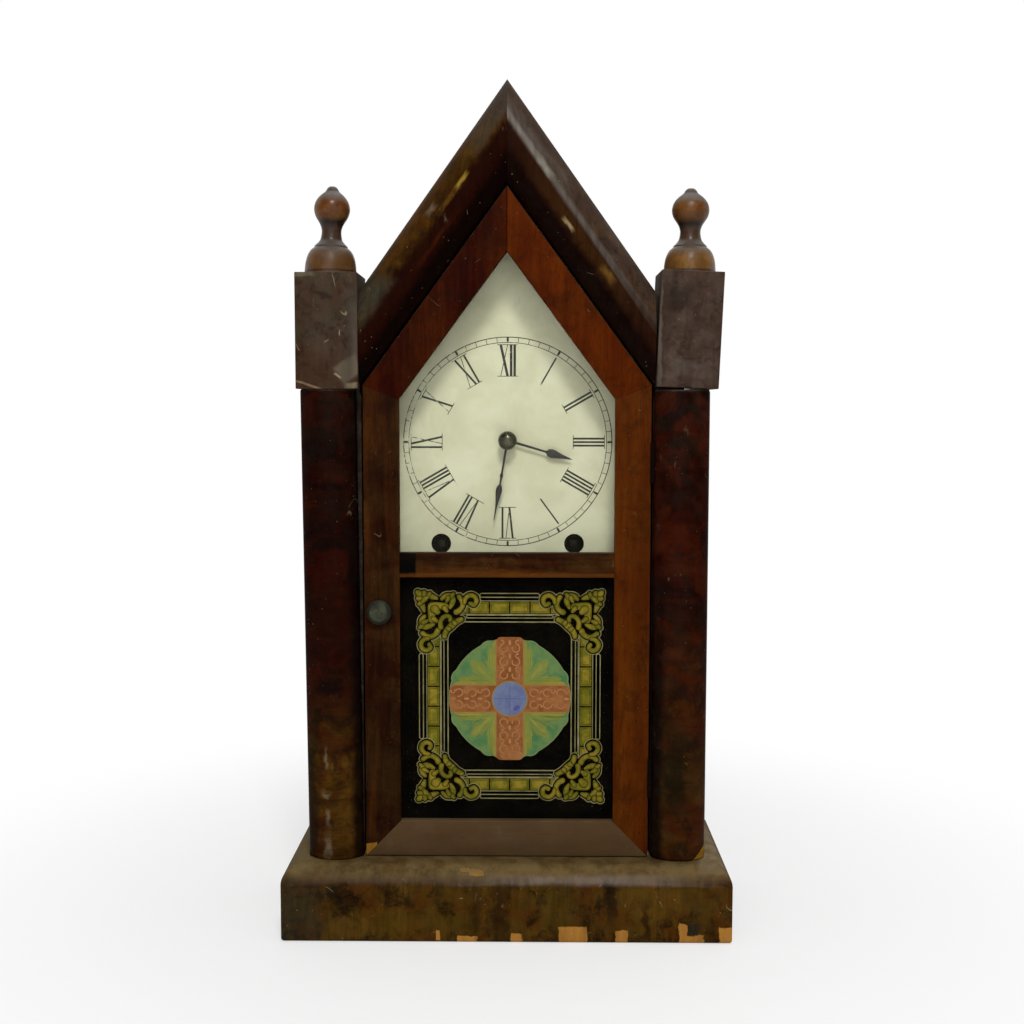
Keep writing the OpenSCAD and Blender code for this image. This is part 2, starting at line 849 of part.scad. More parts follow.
// Positions along the depth of the clock, from the inside of the front plate
front_gap = plate_in + 0.2;
back_gap = back_in - 0.2;
second_y = plate_in + 1.6;
pins_y = second_y + 1.5;
spring_y = plate_in + 6.6;
third_y = plate_in + 7.8;
escape_y = plate_in + 14.6;
centre_y = plate_in + 19;
great_y = back_in - 6.5;
ratchet_t = 1.8;
ratchet_y = great_y - ratchet_t - 2.1;
spring_w = ratchet_y - spring_y - 0.8;
wheel_t = 1.4;
great_t = 2;

// Outline of one thin tooth: part of the pitch from its middle, and height in modules
tooth = [[-0.28, -1.1], [-0.19, 0], [-0.05, 0.75], [0.05, 0.75], [0.19, 0], [0.28, -1.1]];

// A wheel with n teeth of module m, in the plane that starts at y0, a tooth at angle phase
module wheel(at, n, m, y0, t, phase) {
  slab([
    for (i = [0:n - 1])
      for (k = tooth)
        around(at, n * m / 2 + k[1] * m, phase + (i + k[0]) * 360 / n)
  ], y0, y0 + t);
}

// Where the rim of a wheel ends, inside its teeth
function rim_r(n, m, w) = n * m / 2 - 1.1 * m - w;
rim_w = 3;
hub_r = 6;
spoke_w = 4;

// The openings between the four spokes of a wheel
module spoke_windows(at, r_in, r_out, w, y0, t) {
  difference() {
    bar(at[0], at[1], r_out, y0 - 1, y0 + t + 1);
    bar(at[0], at[1], r_in, y0 - 2, y0 + t + 2);
    for (a = [45, 135]) translate([at[0], y0 - 2, at[1]]) rotate([0, a, 0])
      translate([-r_out - 1, 0, -w / 2]) cube([2 * r_out + 2, t + 4, w]);
  }
}

// A lantern pinion: n wires between two discs, a gap between wires at angle phase
module lantern(at, n, m, y0, y1, phase) {
  r = n * m / 2;
  wire = 0.42 * m;
  cap = 0.7;
  cap_r = r + wire + 0.25;
  bar(at[0], at[1], cap_r, y0, y0 + cap);
  bar(at[0], at[1], cap_r, y1 - cap, y1);
  for (i = [0:n - 1]) {
    p = around(at, r, phase + (i + 0.5) * 360 / n);
    bar(p[0], p[1], wire, y0 + cap / 2, y1 - cap / 2, $fn = 16);
  }
}

// An arbor between the plates, with a pivot in each
module arbor(at, front = front_gap) {
  bar(at[0], at[1], arbor_r, front, back_gap);
  bar(at[0], at[1], pivot_r, plate_y + 0.1, board_y - 0.2);
}

// The bores that both plates have for one arbor
module pivot_holes(y0, y1) {
  for (p = [
    second_at, centre_at, third_at, escape_at, verge_at, strike_second_at, strike_third_at, fly_at, hammer_at
  ])
    bar(p[0], p[1], pivot_r + run_fit, y0, y1);
}

plate_outline = [
  [-plate_x, plate_bottom + 8], [-plate_x + 8, plate_bottom], [plate_x - 8, plate_bottom],
  [plate_x, plate_bottom + 8], [plate_x, plate_top - 10], [plate_x - 10, plate_top],
  [-plate_x + 10, plate_top], [-plate_x, plate_top - 10]
];

pillar_end_r = 1.5;
window_w = 12;
window_h = 26;
stud_r = 1.4;
verge_arbor_r = 1.2;
post_z = verge_at[1] + 3.6;
post_h = 6;
rod_y = dial_back + 4.8;
slit = 2;

// The front plate, with the stud of the minute wheel and the post that the pendulum hangs from
module front_plate() {
  color(brass) {
    difference() {
      slab(plate_outline, plate_y, plate_in);
      pivot_holes(plate_y - 1, plate_in + 1);
      bar(verge_at[0], verge_at[1], verge_arbor_r + run_fit, plate_y - 1, plate_in + 1);
      bar(0, dial_z, centre_r + run_fit, plate_y - 1, plate_in + 1);
      for (s = [-1, 1]) bar(s * wind_x, wind_z, wind_r + run_fit, plate_y - 1, plate_in + 1);
      for (p = pillar_places) bar(p[0], p[1], pillar_end_r, plate_y - 1, plate_in + 1);
      for (s = [-1, 1]) translate([s * (plate_x - 19) - window_w / 2, plate_y - 1, plate_top - 55])
        cube([window_w, plate_t + 2, window_h]);
    }
    bar(minute_wheel_at[0], minute_wheel_at[1], stud_r, minute_y - 4.6, plate_y + 0.2);
    difference() {
      translate([verge_at[0] - 3, rod_y - 2.6, post_z]) cube([6, plate_y - rod_y + 2.8, post_h]);
      translate([verge_at[0] - slit / 2, rod_y - 4, post_z - 1]) cube([slit, 6.4, post_h + 2]);
    }
  }
}

// The back plate, with the pillars that are riveted into it
module back_plate() {
  color(brass) {
    difference() {
      slab(plate_outline, back_in, board_y);
      pivot_holes(back_in - 1, board_y + 1);
      for (s = [-1, 1]) bar(s * wind_x, wind_z, wind_back_r + run_fit, back_in - 1, board_y + 1);
      for (p = screw_places) bar(p[0], p[1], screw_r, back_in - 1, board_y + 1);
    }
    for (p = pillar_places) {
      bar(p[0], p[1], pillar_r, plate_in, back_in + 0.2);
      bar(p[0], p[1], pillar_end_r, plate_y - 2.6, plate_in + 0.2);
    }
  }
}

// Six-sided nuts on the pillars, and the wood screws that hold the back plate to the back board
module movement_fasteners() {
  color(steel) {
    for (p = pillar_places) difference() {
      translate([p[0], plate_y, p[1]]) rotate([90, 0, 0]) cylinder(r = 3.4, h = 2.2, $fn = 6);
      bar(p[0], p[1], pillar_end_r, plate_y - 4, plate_y + 1);
    }
    for (p = screw_places) difference() {
      union() {
        bar(p[0], p[1], screw_r, back_in - 1, board_y + screw_bite);
        bar(p[0], p[1], 3.4, back_in - 1.8, back_in);
      }
      translate([p[0] - 4, back_in - 2.8, p[1] - 0.4]) cube([8, 1.7, 0.8]);
    }
  }
}

// Points of a flat spiral strip of thickness t, from radius r0 out to r1
function spiral_r(r0, r1, turns, i, n) = r0 + (r1 - r0) * i / (turns * n);
function spiral(at, r0, r1, turns, t, start, hand, n = 24) = concat(
  [for (i = [0:turns * n]) around(at, spiral_r(r0, r1, turns, i, n) + t / 2, start + hand * i * 360 / n)],
  [for (i = [turns * n:-1:0]) around(at, spiral_r(r0, r1, turns, i, n) - t / 2, start + hand * i * 360 / n)]
);

// Least distance from the outside of one turn to the inside of the next, measured on their points
function spiral_gap(r0, r1, turns, t, n = 24) = min([
  for (i = [0:(turns - 1) * n])
    norm(around([0, 0], spiral_r(r0, r1, turns, i + n, n) - t / 2, i * 360 / n)
      - around([0, 0], spiral_r(r0, r1, turns, i, n) + t / 2, i * 360 / n)) * cos(180 / n)
]);

spring_r0 = spring_in + spring_t / 2;
spring_r1 = spring_r - spring_t / 2;
echo(mainspring_gap = spiral_gap(spring_r0, spring_r1, spring_turns, spring_t));

// Angle at which both springs start on their barrels
spring_start = 200;

module mainsprings() {
  color(steel) for (s = [-1, 1])
    slab(
      spiral([s * wind_x, wind_z], spring_r0, spring_r1, spring_turns, spring_t, spring_start, s),
      spring_y, spring_y + spring_w
    );
}

// Winding arbors and great wheels

wind_back_r = 2;
wind_front_y = dial_back + 1.5;
ratchet_n = 16;
ratchet_r = 10;
barrel_r = 4.5;

// The arbor that the key turns: its square, the core that holds the spring, and the ratchet
module winding_arbor(at) {
  translate([at[0] - square_w / 2, wind_front_y, at[1] - square_w / 2])
    cube([square_w, plate_y - 1 - wind_front_y + 0.5, square_w]);
  bar(at[0], at[1], wind_r, plate_y - 1, back_gap);
  bar(at[0], at[1], barrel_r, spring_y - 1, ratchet_y + 0.5);
  bar(at[0], at[1], wind_back_r, back_gap - 1, board_y - 0.2);
  slab([
    for (i = [0:ratchet_n - 1]) for (k = [[0, 1], [0.06, 0.84], [0.9, 0.96]])
      around(at, ratchet_r * k[1], (i + k[0]) * 360 / ratchet_n)
  ], ratchet_y, ratchet_y + ratchet_t);
}

module time_winding_arbor() {
  color(steel) winding_arbor(time_at);
}

module strike_winding_arbor() {
  color(steel) winding_arbor(strike_at);
}

great_hub_r = 17;
great_rim_w = 4.4;
great_spoke_w = 6;
collet_r = 6;
click_r = 1.9;
click_reach = ratchet_r + click_r + 0.7;
click_bearing = 60;

// A great wheel, loose on its winding arbor, with the click that stands just off the ratchet
module great_wheel(at, to) {
  difference() {
    union() {
      difference() {
        wheel(at, great_n, great_m, great_y, great_t, angle_to(at, to));
        spoke_windows(at, great_hub_r, rim_r(great_n, great_m, great_rim_w), great_spoke_w, great_y, great_t);
      }
      bar(at[0], at[1], collet_r, great_y - 0.4, great_y + great_t + 1.4);
      p = around(at, click_reach, angle_to(at, to) + click_bearing);
      bar(p[0], p[1], click_r, ratchet_y + 0.3, great_y + 0.2);
    }
    bar(at[0], at[1], wind_r + run_fit, great_y - 3, great_y + 6);
  }
}

module time_great_wheel() {
  color(brass) great_wheel(time_at, second_at);
}

module strike_great_wheel() {
  color(brass) great_wheel(strike_at, strike_second_at);
}

// Going train

module time_second_wheel() {
  color(brass) {
    arbor(second_at);
    difference() {
      wheel(second_at, second_n, second_m, second_y, wheel_t, angle_to(second_at, centre_at));
      spoke_windows(second_at, hub_r, rim_r(second_n, second_m, rim_w), spoke_w, second_y, wheel_t);
    }
    lantern(
      second_at, second_leaves, great_m, great_y - 1.6, great_y + great_t + 1.6,
      angle_to(second_at, time_at)
    );
  }
}

centre_r = 1.7;
minute_y = plate_y - 3.4;
hour_wheel_y = plate_y - 6.6;
hour_hand_y = dial_y - 3.6;
minute_hand_y = hour_hand_y - 2.6;

// The centre wheel, on the arbor that runs out through the dial to the minute hand
module centre_wheel() {
  color(brass) {
    bar(0, dial_z, centre_r, minute_hand_y - 1, back_gap);
    bar(0, dial_z, pivot_r, back_gap - 1, board_y - 0.2);
    difference() {
      wheel(centre_at, centre_n, centre_m, centre_y, wheel_t, angle_to(centre_at, third_at));
      spoke_windows(centre_at, hub_r, rim_r(centre_n, centre_m, rim_w), spoke_w, centre_y, wheel_t);
    }
    lantern(
      centre_at, centre_leaves, second_m, second_y - 1.3, second_y + wheel_t + 1.3,
      angle_to(centre_at, second_at)
    );
    lantern(
      centre_at, motion_leaves, motion_m, minute_y - 1, minute_y + wheel_t + 1,
      angle_to(centre_at, minute_wheel_at)
    );
  }
}

module third_wheel() {
  color(brass) {
    arbor(third_at);
    difference() {
      wheel(third_at, third_n, third_m, third_y, wheel_t, angle_to(third_at, escape_at));
      spoke_windows(third_at, hub_r, rim_r(third_n, third_m, rim_w), spoke_w, third_y, wheel_t);
    }
    lantern(
      third_at, train_leaves, centre_m, centre_y - 1.3, centre_y + wheel_t + 1.3,
      angle_to(third_at, centre_at)
    );
  }
}

module escape_wheel() {
  color(brass) {
    arbor(escape_at);
    difference() {
      slab([
        for (i = [0:escape_n - 1]) for (k = [[0, 1], [0.12, 0.9], [0.62, 0.9]])
          around(escape_at, escape_r * k[1], (i + k[0]) * 360 / escape_n)
      ], escape_y, escape_y + wheel_t);
      spoke_windows(escape_at, hub_r - 2, escape_r - rim_w, spoke_w, escape_y, wheel_t);
    }
    lantern(
      escape_at, train_leaves, third_m, third_y - 1.3, third_y + wheel_t + 1.3,
      angle_to(escape_at, third_at)
    );
  }
}

crutch_l = 30;
crutch_t = 1.6;
crutch_y = plate_y - 3.6;
prong_gap = 0.2;
prong_w = 1;

// Half of the pallet strip: over the verge arbor, out past the wheel and down to a tooth
pallet = [[0, 1.2], [9.4, -1.6], [9.8, -3.5], [8.6, -3.7], [8.3, -2.9], [0, -1.2]];

// The verge: its arbor and pallets between the plates, and the crutch in front that takes the rod
module verge() {
  x = verge_at[0];
  z = verge_at[1];
  fork_x = rod_r + prong_gap;
  fork_z = z - crutch_l;
  color(steel) {
    bar(x, z, verge_arbor_r, crutch_y, back_gap);
    bar(x, z, pivot_r, back_gap - 1, board_y - 0.2);
    bar(x, z, 1.6, escape_y - 0.8, escape_y + wheel_t + 0.8);
    for (s = [-1, 1])
      slab([for (p = pallet) [x + s * p[0], z + p[1]]], escape_y - 0.3, escape_y + wheel_t + 0.3);
    bar(x, z, 2.2, crutch_y, crutch_y + crutch_t);
    translate([x - crutch_t / 2, crutch_y, fork_z]) cube([crutch_t, crutch_t, crutch_l]);
    translate([x - fork_x - prong_w, crutch_y, fork_z]) cube([2 * (fork_x + prong_w), crutch_t, crutch_t]);
    for (s = [-1, 1]) translate([x + s * (fork_x + prong_w / 2) - prong_w / 2, rod_y - 1.8, fork_z])
      cube([prong_w, crutch_y - rod_y + 1.8 + crutch_t, crutch_t]);
  }
}

// Motion work

module minute_wheel() {
  color(brass) difference() {
    union() {
      wheel(
        minute_wheel_at, minute_wheel_n, motion_m, minute_y, wheel_t,
        angle_to(minute_wheel_at, centre_at)
      );
      bar(minute_wheel_at[0], minute_wheel_at[1], 2.4, hour_wheel_y - 0.5, minute_y + 0.5);
      lantern(
        minute_wheel_at, minute_leaves, motion_m2, hour_wheel_y - 0.7, minute_y + 0.2,
        angle_to(minute_wheel_at, centre_at)
      );
    }
    bar(minute_wheel_at[0], minute_wheel_at[1], stud_r + run_fit, hour_wheel_y - 4, plate_y);
  }
}

pipe_r = 2.9;

module hour_wheel() {
  color(brass) difference() {
    union() {
      wheel(
        centre_at, hour_wheel_n, motion_m2, hour_wheel_y, wheel_t,
        angle_to(centre_at, minute_wheel_at)
      );
      bar(0, dial_z, pipe_r, hour_hand_y - 0.6, hour_wheel_y + 0.5);
    }
    bar(0, dial_z, centre_r + run_fit, hour_hand_y - 2, hour_wheel_y + wheel_t + 1);
  }
}

// Right side of a hand that points up: a thin stem, a knot, a drop whose widest place is at, and a tip
function hand_side(l, stem, knot, swell, at, d) = [
  [stem, 0], [stem * 0.78, at - d * 1.04], [stem * knot, at - d * 0.89], [stem * 0.78, at - d * 0.74],
  [stem * 0.74, at - d * 0.34], [swell * 0.78, at - d * 0.2], [swell, at], [swell * 0.93, at + d * 0.2],
  [swell * 0.68, at + d * 0.45], [swell * 0.4, at + d * 0.78], [stem * 0.65, at + d * 1.15],
  [stem * 0.4, l * 0.96], [0, l]
];

module hand(side, at, y0, boss_r, bore_r) {
  translate([0, 0, dial_z]) rotate([0, at, 0]) difference() {
    union() {
      slab(concat(side, [for (i = [len(side) - 2:-1:0]) [-side[i][0], side[i][1]]]), y0, y0 + hand_t);
      bar(0, 0, boss_r, y0, y0 + hand_t);
    }
    bar(0, 0, bore_r, y0 - 1, y0 + hand_t + 1);
  }
}

drop_l = 10;

module hour_hand() {
  color(blued_steel)
    hand(hand_side(hour_l, 0.85, 0.77, 2.7, hour_l * 0.669, drop_l), hour_at, hour_hand_y, 4.8, pipe_r);
}

module minute_hand() {
  color(blued_steel)
    hand(
      hand_side(minute_l, 0.75, 1.5, 1.95, minute_l * 0.607, drop_l),
      minute_at, minute_hand_y, 3.6, centre_r
    );
}

module hand_nut() {
  color(iron) difference() {
    translate([0, minute_hand_y, dial_z]) rotate([90, 0, 0]) rotate_extrude() polygon(concat(
      [[0, 0]], [for (a = [-20:10:90]) [nut_r * cos(a), nut_r * 0.35 + nut_r * 0.9 * sin(a)]]
    ));
    bar(0, dial_z, centre_r, minute_hand_y - 1, minute_hand_y + 1);
  }
}

// Strike train

lift_pins = 8;
lift_ring_r = 18;
lift_pin_r = 0.5;

module strike_second_wheel() {
  color(brass) {
    arbor(strike_second_at);
    difference() {
      wheel(
        strike_second_at, pin_wheel_n, pin_wheel_m, second_y, wheel_t,
        angle_to(strike_second_at, strike_third_at)
      );
      spoke_windows(strike_second_at, hub_r, lift_ring_r - 2.5, spoke_w, second_y, wheel_t);
    }
    for (i = [0:lift_pins - 1]) {
      p = around(strike_second_at, lift_ring_r, (i + 1 / 3) * 360 / lift_pins);
      bar(p[0], p[1], lift_pin_r, second_y + 0.7, pins_y + 2.6);
    }
    lantern(
      strike_second_at, second_leaves, great_m, great_y - 1.6, great_y + great_t + 1.6,
      angle_to(strike_second_at, strike_at)
    );
  }
}

stop_wheel_y = third_y + 5;

module strike_third_wheel() {
  color(brass) {
    arbor(strike_third_at);
    difference() {
      wheel(
        strike_third_at, stop_wheel_n, stop_wheel_m, stop_wheel_y, wheel_t,
        angle_to(strike_third_at, fly_at)
      );
      spoke_windows(
        strike_third_at, hub_r, rim_r(stop_wheel_n, stop_wheel_m, rim_w), spoke_w, stop_wheel_y, wheel_t
      );
    }
    lantern(
      strike_third_at, train_leaves, pin_wheel_m, second_y - 1.3, second_y + wheel_t + 1.3,
      angle_to(strike_third_at, strike_second_at)
    );
  }
}

fly_w = 21;
fly_h = 12;
fly_t = 0.8;

module strike_fly() {
  color(brass) {
    arbor(fly_at);
    lantern(
      fly_at, train_leaves, stop_wheel_m, stop_wheel_y - 1.3, stop_wheel_y + wheel_t + 1.3,
      angle_to(fly_at, strike_third_at)
    );
    translate([fly_at[0] - fly_w / 2, centre_y, fly_at[1] - fly_t / 2]) cube([fly_w, fly_h, fly_t]);
  }
}

// Gong and hammer

gong_y = plate_in + 16.4;
gong_screw_r = 2;
stem_r = 7;
gong_r0 = stem_r + gong_t / 2;
gong_r1 = gong_r - gong_t / 2;
gong_at = [-gong_x, gong_z];
echo(gong_gap = spiral_gap(gong_r0, gong_r1, gong_turns, gong_t));

module gong_coil() {
  color(steel)
    slab(spiral(gong_at, gong_r0, gong_r1, gong_turns, gong_t, 40, 1), gong_y, gong_y + gong_strip_w);
}

module gong_stand() {
  color(iron) {
    bar(gong_at[0], gong_at[1], stem_r, gong_y - 1, board_y);
    bar(gong_at[0], gong_at[1], 16, board_y - 4, board_y);
    bar(gong_at[0], gong_at[1], gong_screw_r, board_y - 1, case_back);
  }
}

head_up = 11;
head_z = gong_z + head_up;
head_h = 13;
head_r = 4.5;
head_x = sqrt(gong_r * gong_r - (head_up - head_r) * (head_up - head_r)) + hammer_gap - gong_x;
head_y = gong_y + gong_strip_w / 2;
hammer_wire_w = 2;
tail_y = second_y + 2.5;
tail_w = 1.2;
tail_gap = 1.1;
tail_l = norm(strike_second_at - hammer_at) - lift_ring_r - lift_pin_r - tail_gap;

// The hammer: its arbor, the wire down to the head, and the tail that the pins lift
module strike_hammer() {
  x = hammer_at[0];
  z = hammer_at[1];
  color(steel) {
    arbor(hammer_at);
    bar(x, z, 2.4, head_y - 2.5, head_y + 2.5);
    translate([x - hammer_wire_w / 2, head_y - hammer_wire_w / 2, head_z])
      cube([hammer_wire_w, hammer_wire_w, z - head_z]);
    translate([head_x, head_y, head_z]) rotate([0, 90, 0]) cylinder(r = head_r, h = head_h);
    bar(x, z, 2.2, tail_y - 0.4, tail_y + tail_w + 0.4);
    translate([x, tail_y, z]) rotate([0, -angle_to(hammer_at, strike_second_at), 0])
      translate([0, 0, -tail_w / 2]) cube([tail_l, tail_w, tail_w]);
  }
}

// Pendulum

rod_foot = base_h + pendulum_gap;
rating_l = 8;
bob_z = rod_foot + rating_l + bob_r;
echo(pendulum_length = verge_at[1] - bob_z);
rod_head = verge_at[1] - 10;
spring_top = post_z + post_h + 1;

module pendulum_rod() {
  x = verge_at[0];
  color(steel) {
    translate([x - 0.1, rod_y - 1.8, rod_head - 2]) cube([0.2, 3.6, spring_top - rod_head + 2]);
    translate([x - 2.5, rod_y, spring_top + 0.3]) rotate([0, 90, 0]) cylinder(r = 0.9, h = 5);
    translate([x, rod_y, rod_foot]) cylinder(r = rod_r, h = rod_head - rod_foot);
    translate([x, rod_y, rod_foot + 3.5]) cylinder(r = 3.2, h = 3.5);
  }
}

// Radius of the bob's rounded rim
bob_edge = 1.2;

// Half of the bob's outline: flat faces that swell to the middle, and a rounded rim
bob_side = [for (a = [0:15:90]) [bob_r - bob_edge + bob_edge * cos(a), bob_edge * sin(a)]];
bob_face = [for (f = [0.75, 0.5, 0.25, 0]) [bob_r * f, bob_edge + (bob_t / 2 - bob_edge) * (1 - f * f)]];
bob_half = concat(bob_side, bob_face);

module pendulum_bob() {
  color(brass) difference() {
    translate([verge_at[0], rod_y, bob_z]) rotate([90, 0, 0]) rotate_extrude($fn = 72)
      polygon(concat(bob_half, [for (i = [len(bob_half) - 1:-1:1]) [bob_half[i][0], -bob_half[i][1]]]));
    translate([verge_at[0] - rod_r, rod_y - rod_r, bob_z - bob_r - 1])
      cube([2 * rod_r, 2 * rod_r, 2 * bob_r + 2]);
  }
}

base_front_moulding();
base_left_moulding();
base_right_moulding();
floor_board();
back_board();
side_board_left();
side_board_right();
roof_board_left();
roof_board_right();
front_frame_left();
front_frame_right();
gable_moulding_left();
gable_moulding_right();
column_left();
column_right();
block_left();
block_right();
finial_left();
finial_right();
dial_plate();
dial_cleats();
dial_tacks();
door_stile_left();
door_stile_right();
door_bottom_rail();
door_middle_rail();
door_gable_left();
door_gable_right();
dial_glass();
tablet_glass();
hinge_door_leaves();
hinge_case_leaves();
door_knob();
latch_tongue();
front_plate();
back_plate();
movement_fasteners();
mainsprings();
time_winding_arbor();
time_great_wheel();
time_second_wheel();
centre_wheel();
third_wheel();
escape_wheel();
verge();
strike_winding_arbor();
strike_great_wheel();
strike_second_wheel();
strike_third_wheel();
strike_fly();
strike_hammer();
gong_coil();
gong_stand();
minute_wheel();
hour_wheel();
hour_hand();
minute_hand();
hand_nut();
pendulum_rod();
pendulum_bob();
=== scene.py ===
"""Looks of the gothic gable mantel clock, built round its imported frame.

The frame holds every real shape and size. This script gives its nodes their finishes, swaps the
wooden ones and the hands for copies with rubbed edges, paints the dial and the tablet, beds the
glass in putty, and sets up the floor, the light and the camera. Lengths are metres.
"""

import logging
import math
from dataclasses import dataclass
from enum import Enum
from functools import cache
from typing import Iterable, Sequence, Union

import bmesh
import bpy
from mathutils import Matrix, Vector


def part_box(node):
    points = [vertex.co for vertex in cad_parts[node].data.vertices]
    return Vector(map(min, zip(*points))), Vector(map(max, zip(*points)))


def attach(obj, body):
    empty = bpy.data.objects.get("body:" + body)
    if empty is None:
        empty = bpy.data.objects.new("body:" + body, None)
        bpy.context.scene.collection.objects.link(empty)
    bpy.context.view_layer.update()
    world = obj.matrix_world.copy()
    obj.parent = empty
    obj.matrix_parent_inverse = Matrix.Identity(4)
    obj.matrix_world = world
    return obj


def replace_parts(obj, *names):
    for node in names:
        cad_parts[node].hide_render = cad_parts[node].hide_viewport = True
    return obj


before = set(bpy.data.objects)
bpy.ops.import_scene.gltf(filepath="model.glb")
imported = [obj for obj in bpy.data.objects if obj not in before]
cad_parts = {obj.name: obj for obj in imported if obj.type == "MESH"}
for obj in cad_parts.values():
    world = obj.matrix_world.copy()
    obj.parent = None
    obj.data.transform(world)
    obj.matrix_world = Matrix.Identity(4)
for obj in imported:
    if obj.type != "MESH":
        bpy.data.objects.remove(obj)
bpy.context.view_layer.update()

LOG = logging.getLogger("clock")
WELD = 1e-6
FLAT_BEND = 0.3
SOFT_BEND = 24.0
SHARP_BENDS = (33.0, 100.0)
FULL_TURN = 2 * math.pi

Colour = tuple[float, float, float]
Triple = tuple[float, float, float]
Spot = tuple[float, float]
Socket = bpy.types.NodeSocket
Outputs = bpy.types.NodeOutputs
Input = Union[Socket, float, Sequence[float]]
Inputs = dict[Union[str, int], Input]

STAIN = (0.004, 0.002, 0.001)
CHIP = (0.33, 0.15, 0.028)


class Along(Enum):
    """Direction that a veneer's grain runs in, as the share of its pace along X, Y and Z."""

    WIDTH = (0.1, 1.0, 1.0)
    HEIGHT = (1.0, 1.0, 0.1)


def shade(colour: Colour, share: float) -> Colour:
    """Returns a colour, darkened to that share of its light."""
    return tuple(share * channel for channel in colour)


# ---------------------------------------------------------------- nodes


class Graph:
    """Adds nodes to one material or node group, and links them."""

    def __init__(self, tree: bpy.types.NodeTree) -> None:
        """Starts on an emptied node tree."""
        self.tree = tree
        tree.nodes.clear()

    def feed(self, socket: Socket, value: Input) -> None:
        """Links a socket to another, or sets its plain value.

        Args:
            socket: the input socket.
            value: an output socket, a number, or a colour or vector.
        """
        if isinstance(value, bpy.types.NodeSocket):
            self.tree.links.new(value, socket)
        elif isinstance(value, (int, float)):
            socket.default_value = value
        else:
            socket.default_value = (*value, 1.0) if len(socket.default_value) > len(value) else value

    def add(self, kind: str, inputs: Inputs, **settings: object) -> Outputs:
        """Adds a node.

        Args:
            kind: Blender's name of the node type, without "ShaderNode".
            inputs: what feeds its sockets, by name or number.
            **settings: the node's own properties.

        Returns:
            The new node's outputs.
        """
        node = self.tree.nodes.new(f"ShaderNode{kind}")
        for key, value in settings.items():
            setattr(node, key, value)
        for key, value in inputs.items():
            self.feed(node.inputs[key], value)
        return node.outputs

    def math(self, operation: str, a: Input, b: Input = 0.0, clamp: bool = False) -> Socket:
        """Returns the result of a math node on a and b."""
        return self.add("Math", {0: a, 1: b}, operation=operation, use_clamp=clamp)[0]

    def times(self, a: Input, b: Input, clamp: bool = False) -> Socket:
        """Returns a times b."""
        return self.math("MULTIPLY", a, b, clamp)

    def plus(self, a: Input, b: Input, clamp: bool = False) -> Socket:
        """Returns a plus b."""
        return self.math("ADD", a, b, clamp)

    def less(self, a: Input, b: Input) -> Socket:
        """Returns a less b."""
        return self.math("SUBTRACT", a, b)

    def rest(self, a: Input) -> Socket:
        """Returns what a leaves of 1."""
        return self.less(1.0, a)

    def most(self, a: Input, b: Input) -> Socket:
        """Returns the larger of a and b."""
        return self.math("MAXIMUM", a, b)

    def away(self, a: Input, b: Input) -> Socket:
        """Returns how far a is from b."""
        return self.math("ABSOLUTE", self.less(a, b))

    def vector(self, operation: str, a: Input, b: Input = (0.0, 0.0, 0.0)) -> Socket:
        """Returns the vector result of a vector math node on a and b."""
        return self.add("VectorMath", {0: a, 1: b}, operation=operation)[0]

    def mix(self, share: Input, a: Input, b: Input) -> Socket:
        """Returns colour a, turning to colour b as share goes from 0 to 1."""
        return self.add("Mix", {0: share, 6: a, 7: b}, data_type="RGBA")[2]

    def tone(self, colour: Input, other: Input, share: Input, amount: Input) -> Socket:
        """Returns a colour, turning to the other one as share times amount goes from 0 to 1."""
        return self.mix(self.times(share, amount), colour, other)

    def between(self, share: Input, a: Input, b: Input) -> Socket:
        """Returns number a, turning to number b as share goes from 0 to 1."""
        return self.add("Mix", {0: share, 2: a, 3: b}, data_type="FLOAT")[0]

    def rise(self, value: Input, low: Input, high: Input) -> Socket:
        """Returns a mask that rises smoothly from 0 at low to 1 at high."""
        return self.add("MapRange", {0: value, 1: low, 2: high}, interpolation_type="SMOOTHSTEP")[0]

    def cloud(self, at: Input, scale: Input, detail: float = 3.0, rough: float = 0.55, warp: float = 0.0) -> Outputs:
        """Returns the value and the colour of a noise texture of that scale per metre."""
        looks = {"Vector": at, "Scale": scale, "Detail": detail, "Roughness": rough, "Distortion": warp}
        return self.add("TexNoise", looks)

    def noise(self, at: Input, scale: Input, *looks: float) -> Socket:
        """Returns the value alone of the same noise texture."""
        return self.cloud(at, scale, *looks)[0]

    def apart(self, at: Input, shift: Triple, scale: Input, *looks: float) -> Socket:
        """Returns the value of the same noise texture, taken from another place."""
        return self.noise(self.vector("ADD", at, shift), scale, *looks)

    def axes(self, vector: Input) -> Outputs:
        """Returns the x, y and z of a vector."""
        return self.add("SeparateXYZ", {0: vector})

    def place(self) -> Outputs:
        """Returns the outputs of a texture coordinate node."""
        return self.add("TexCoord", {})

    def bump(self, height: Input, distance: float, strength: float, normal: Input = (0.0, 0.0, 0.0)) -> Socket:
        """Returns the normal that a height gives.

        Args:
            height: the height, from 0 to 1.
            distance: what a height of 1 stands for, in metres.
            strength: share of the effect.
            normal: a normal to start from, or none.
        """
        return self.add("Bump", {"Height": height, "Distance": distance, "Strength": strength, "Normal": normal})[0]


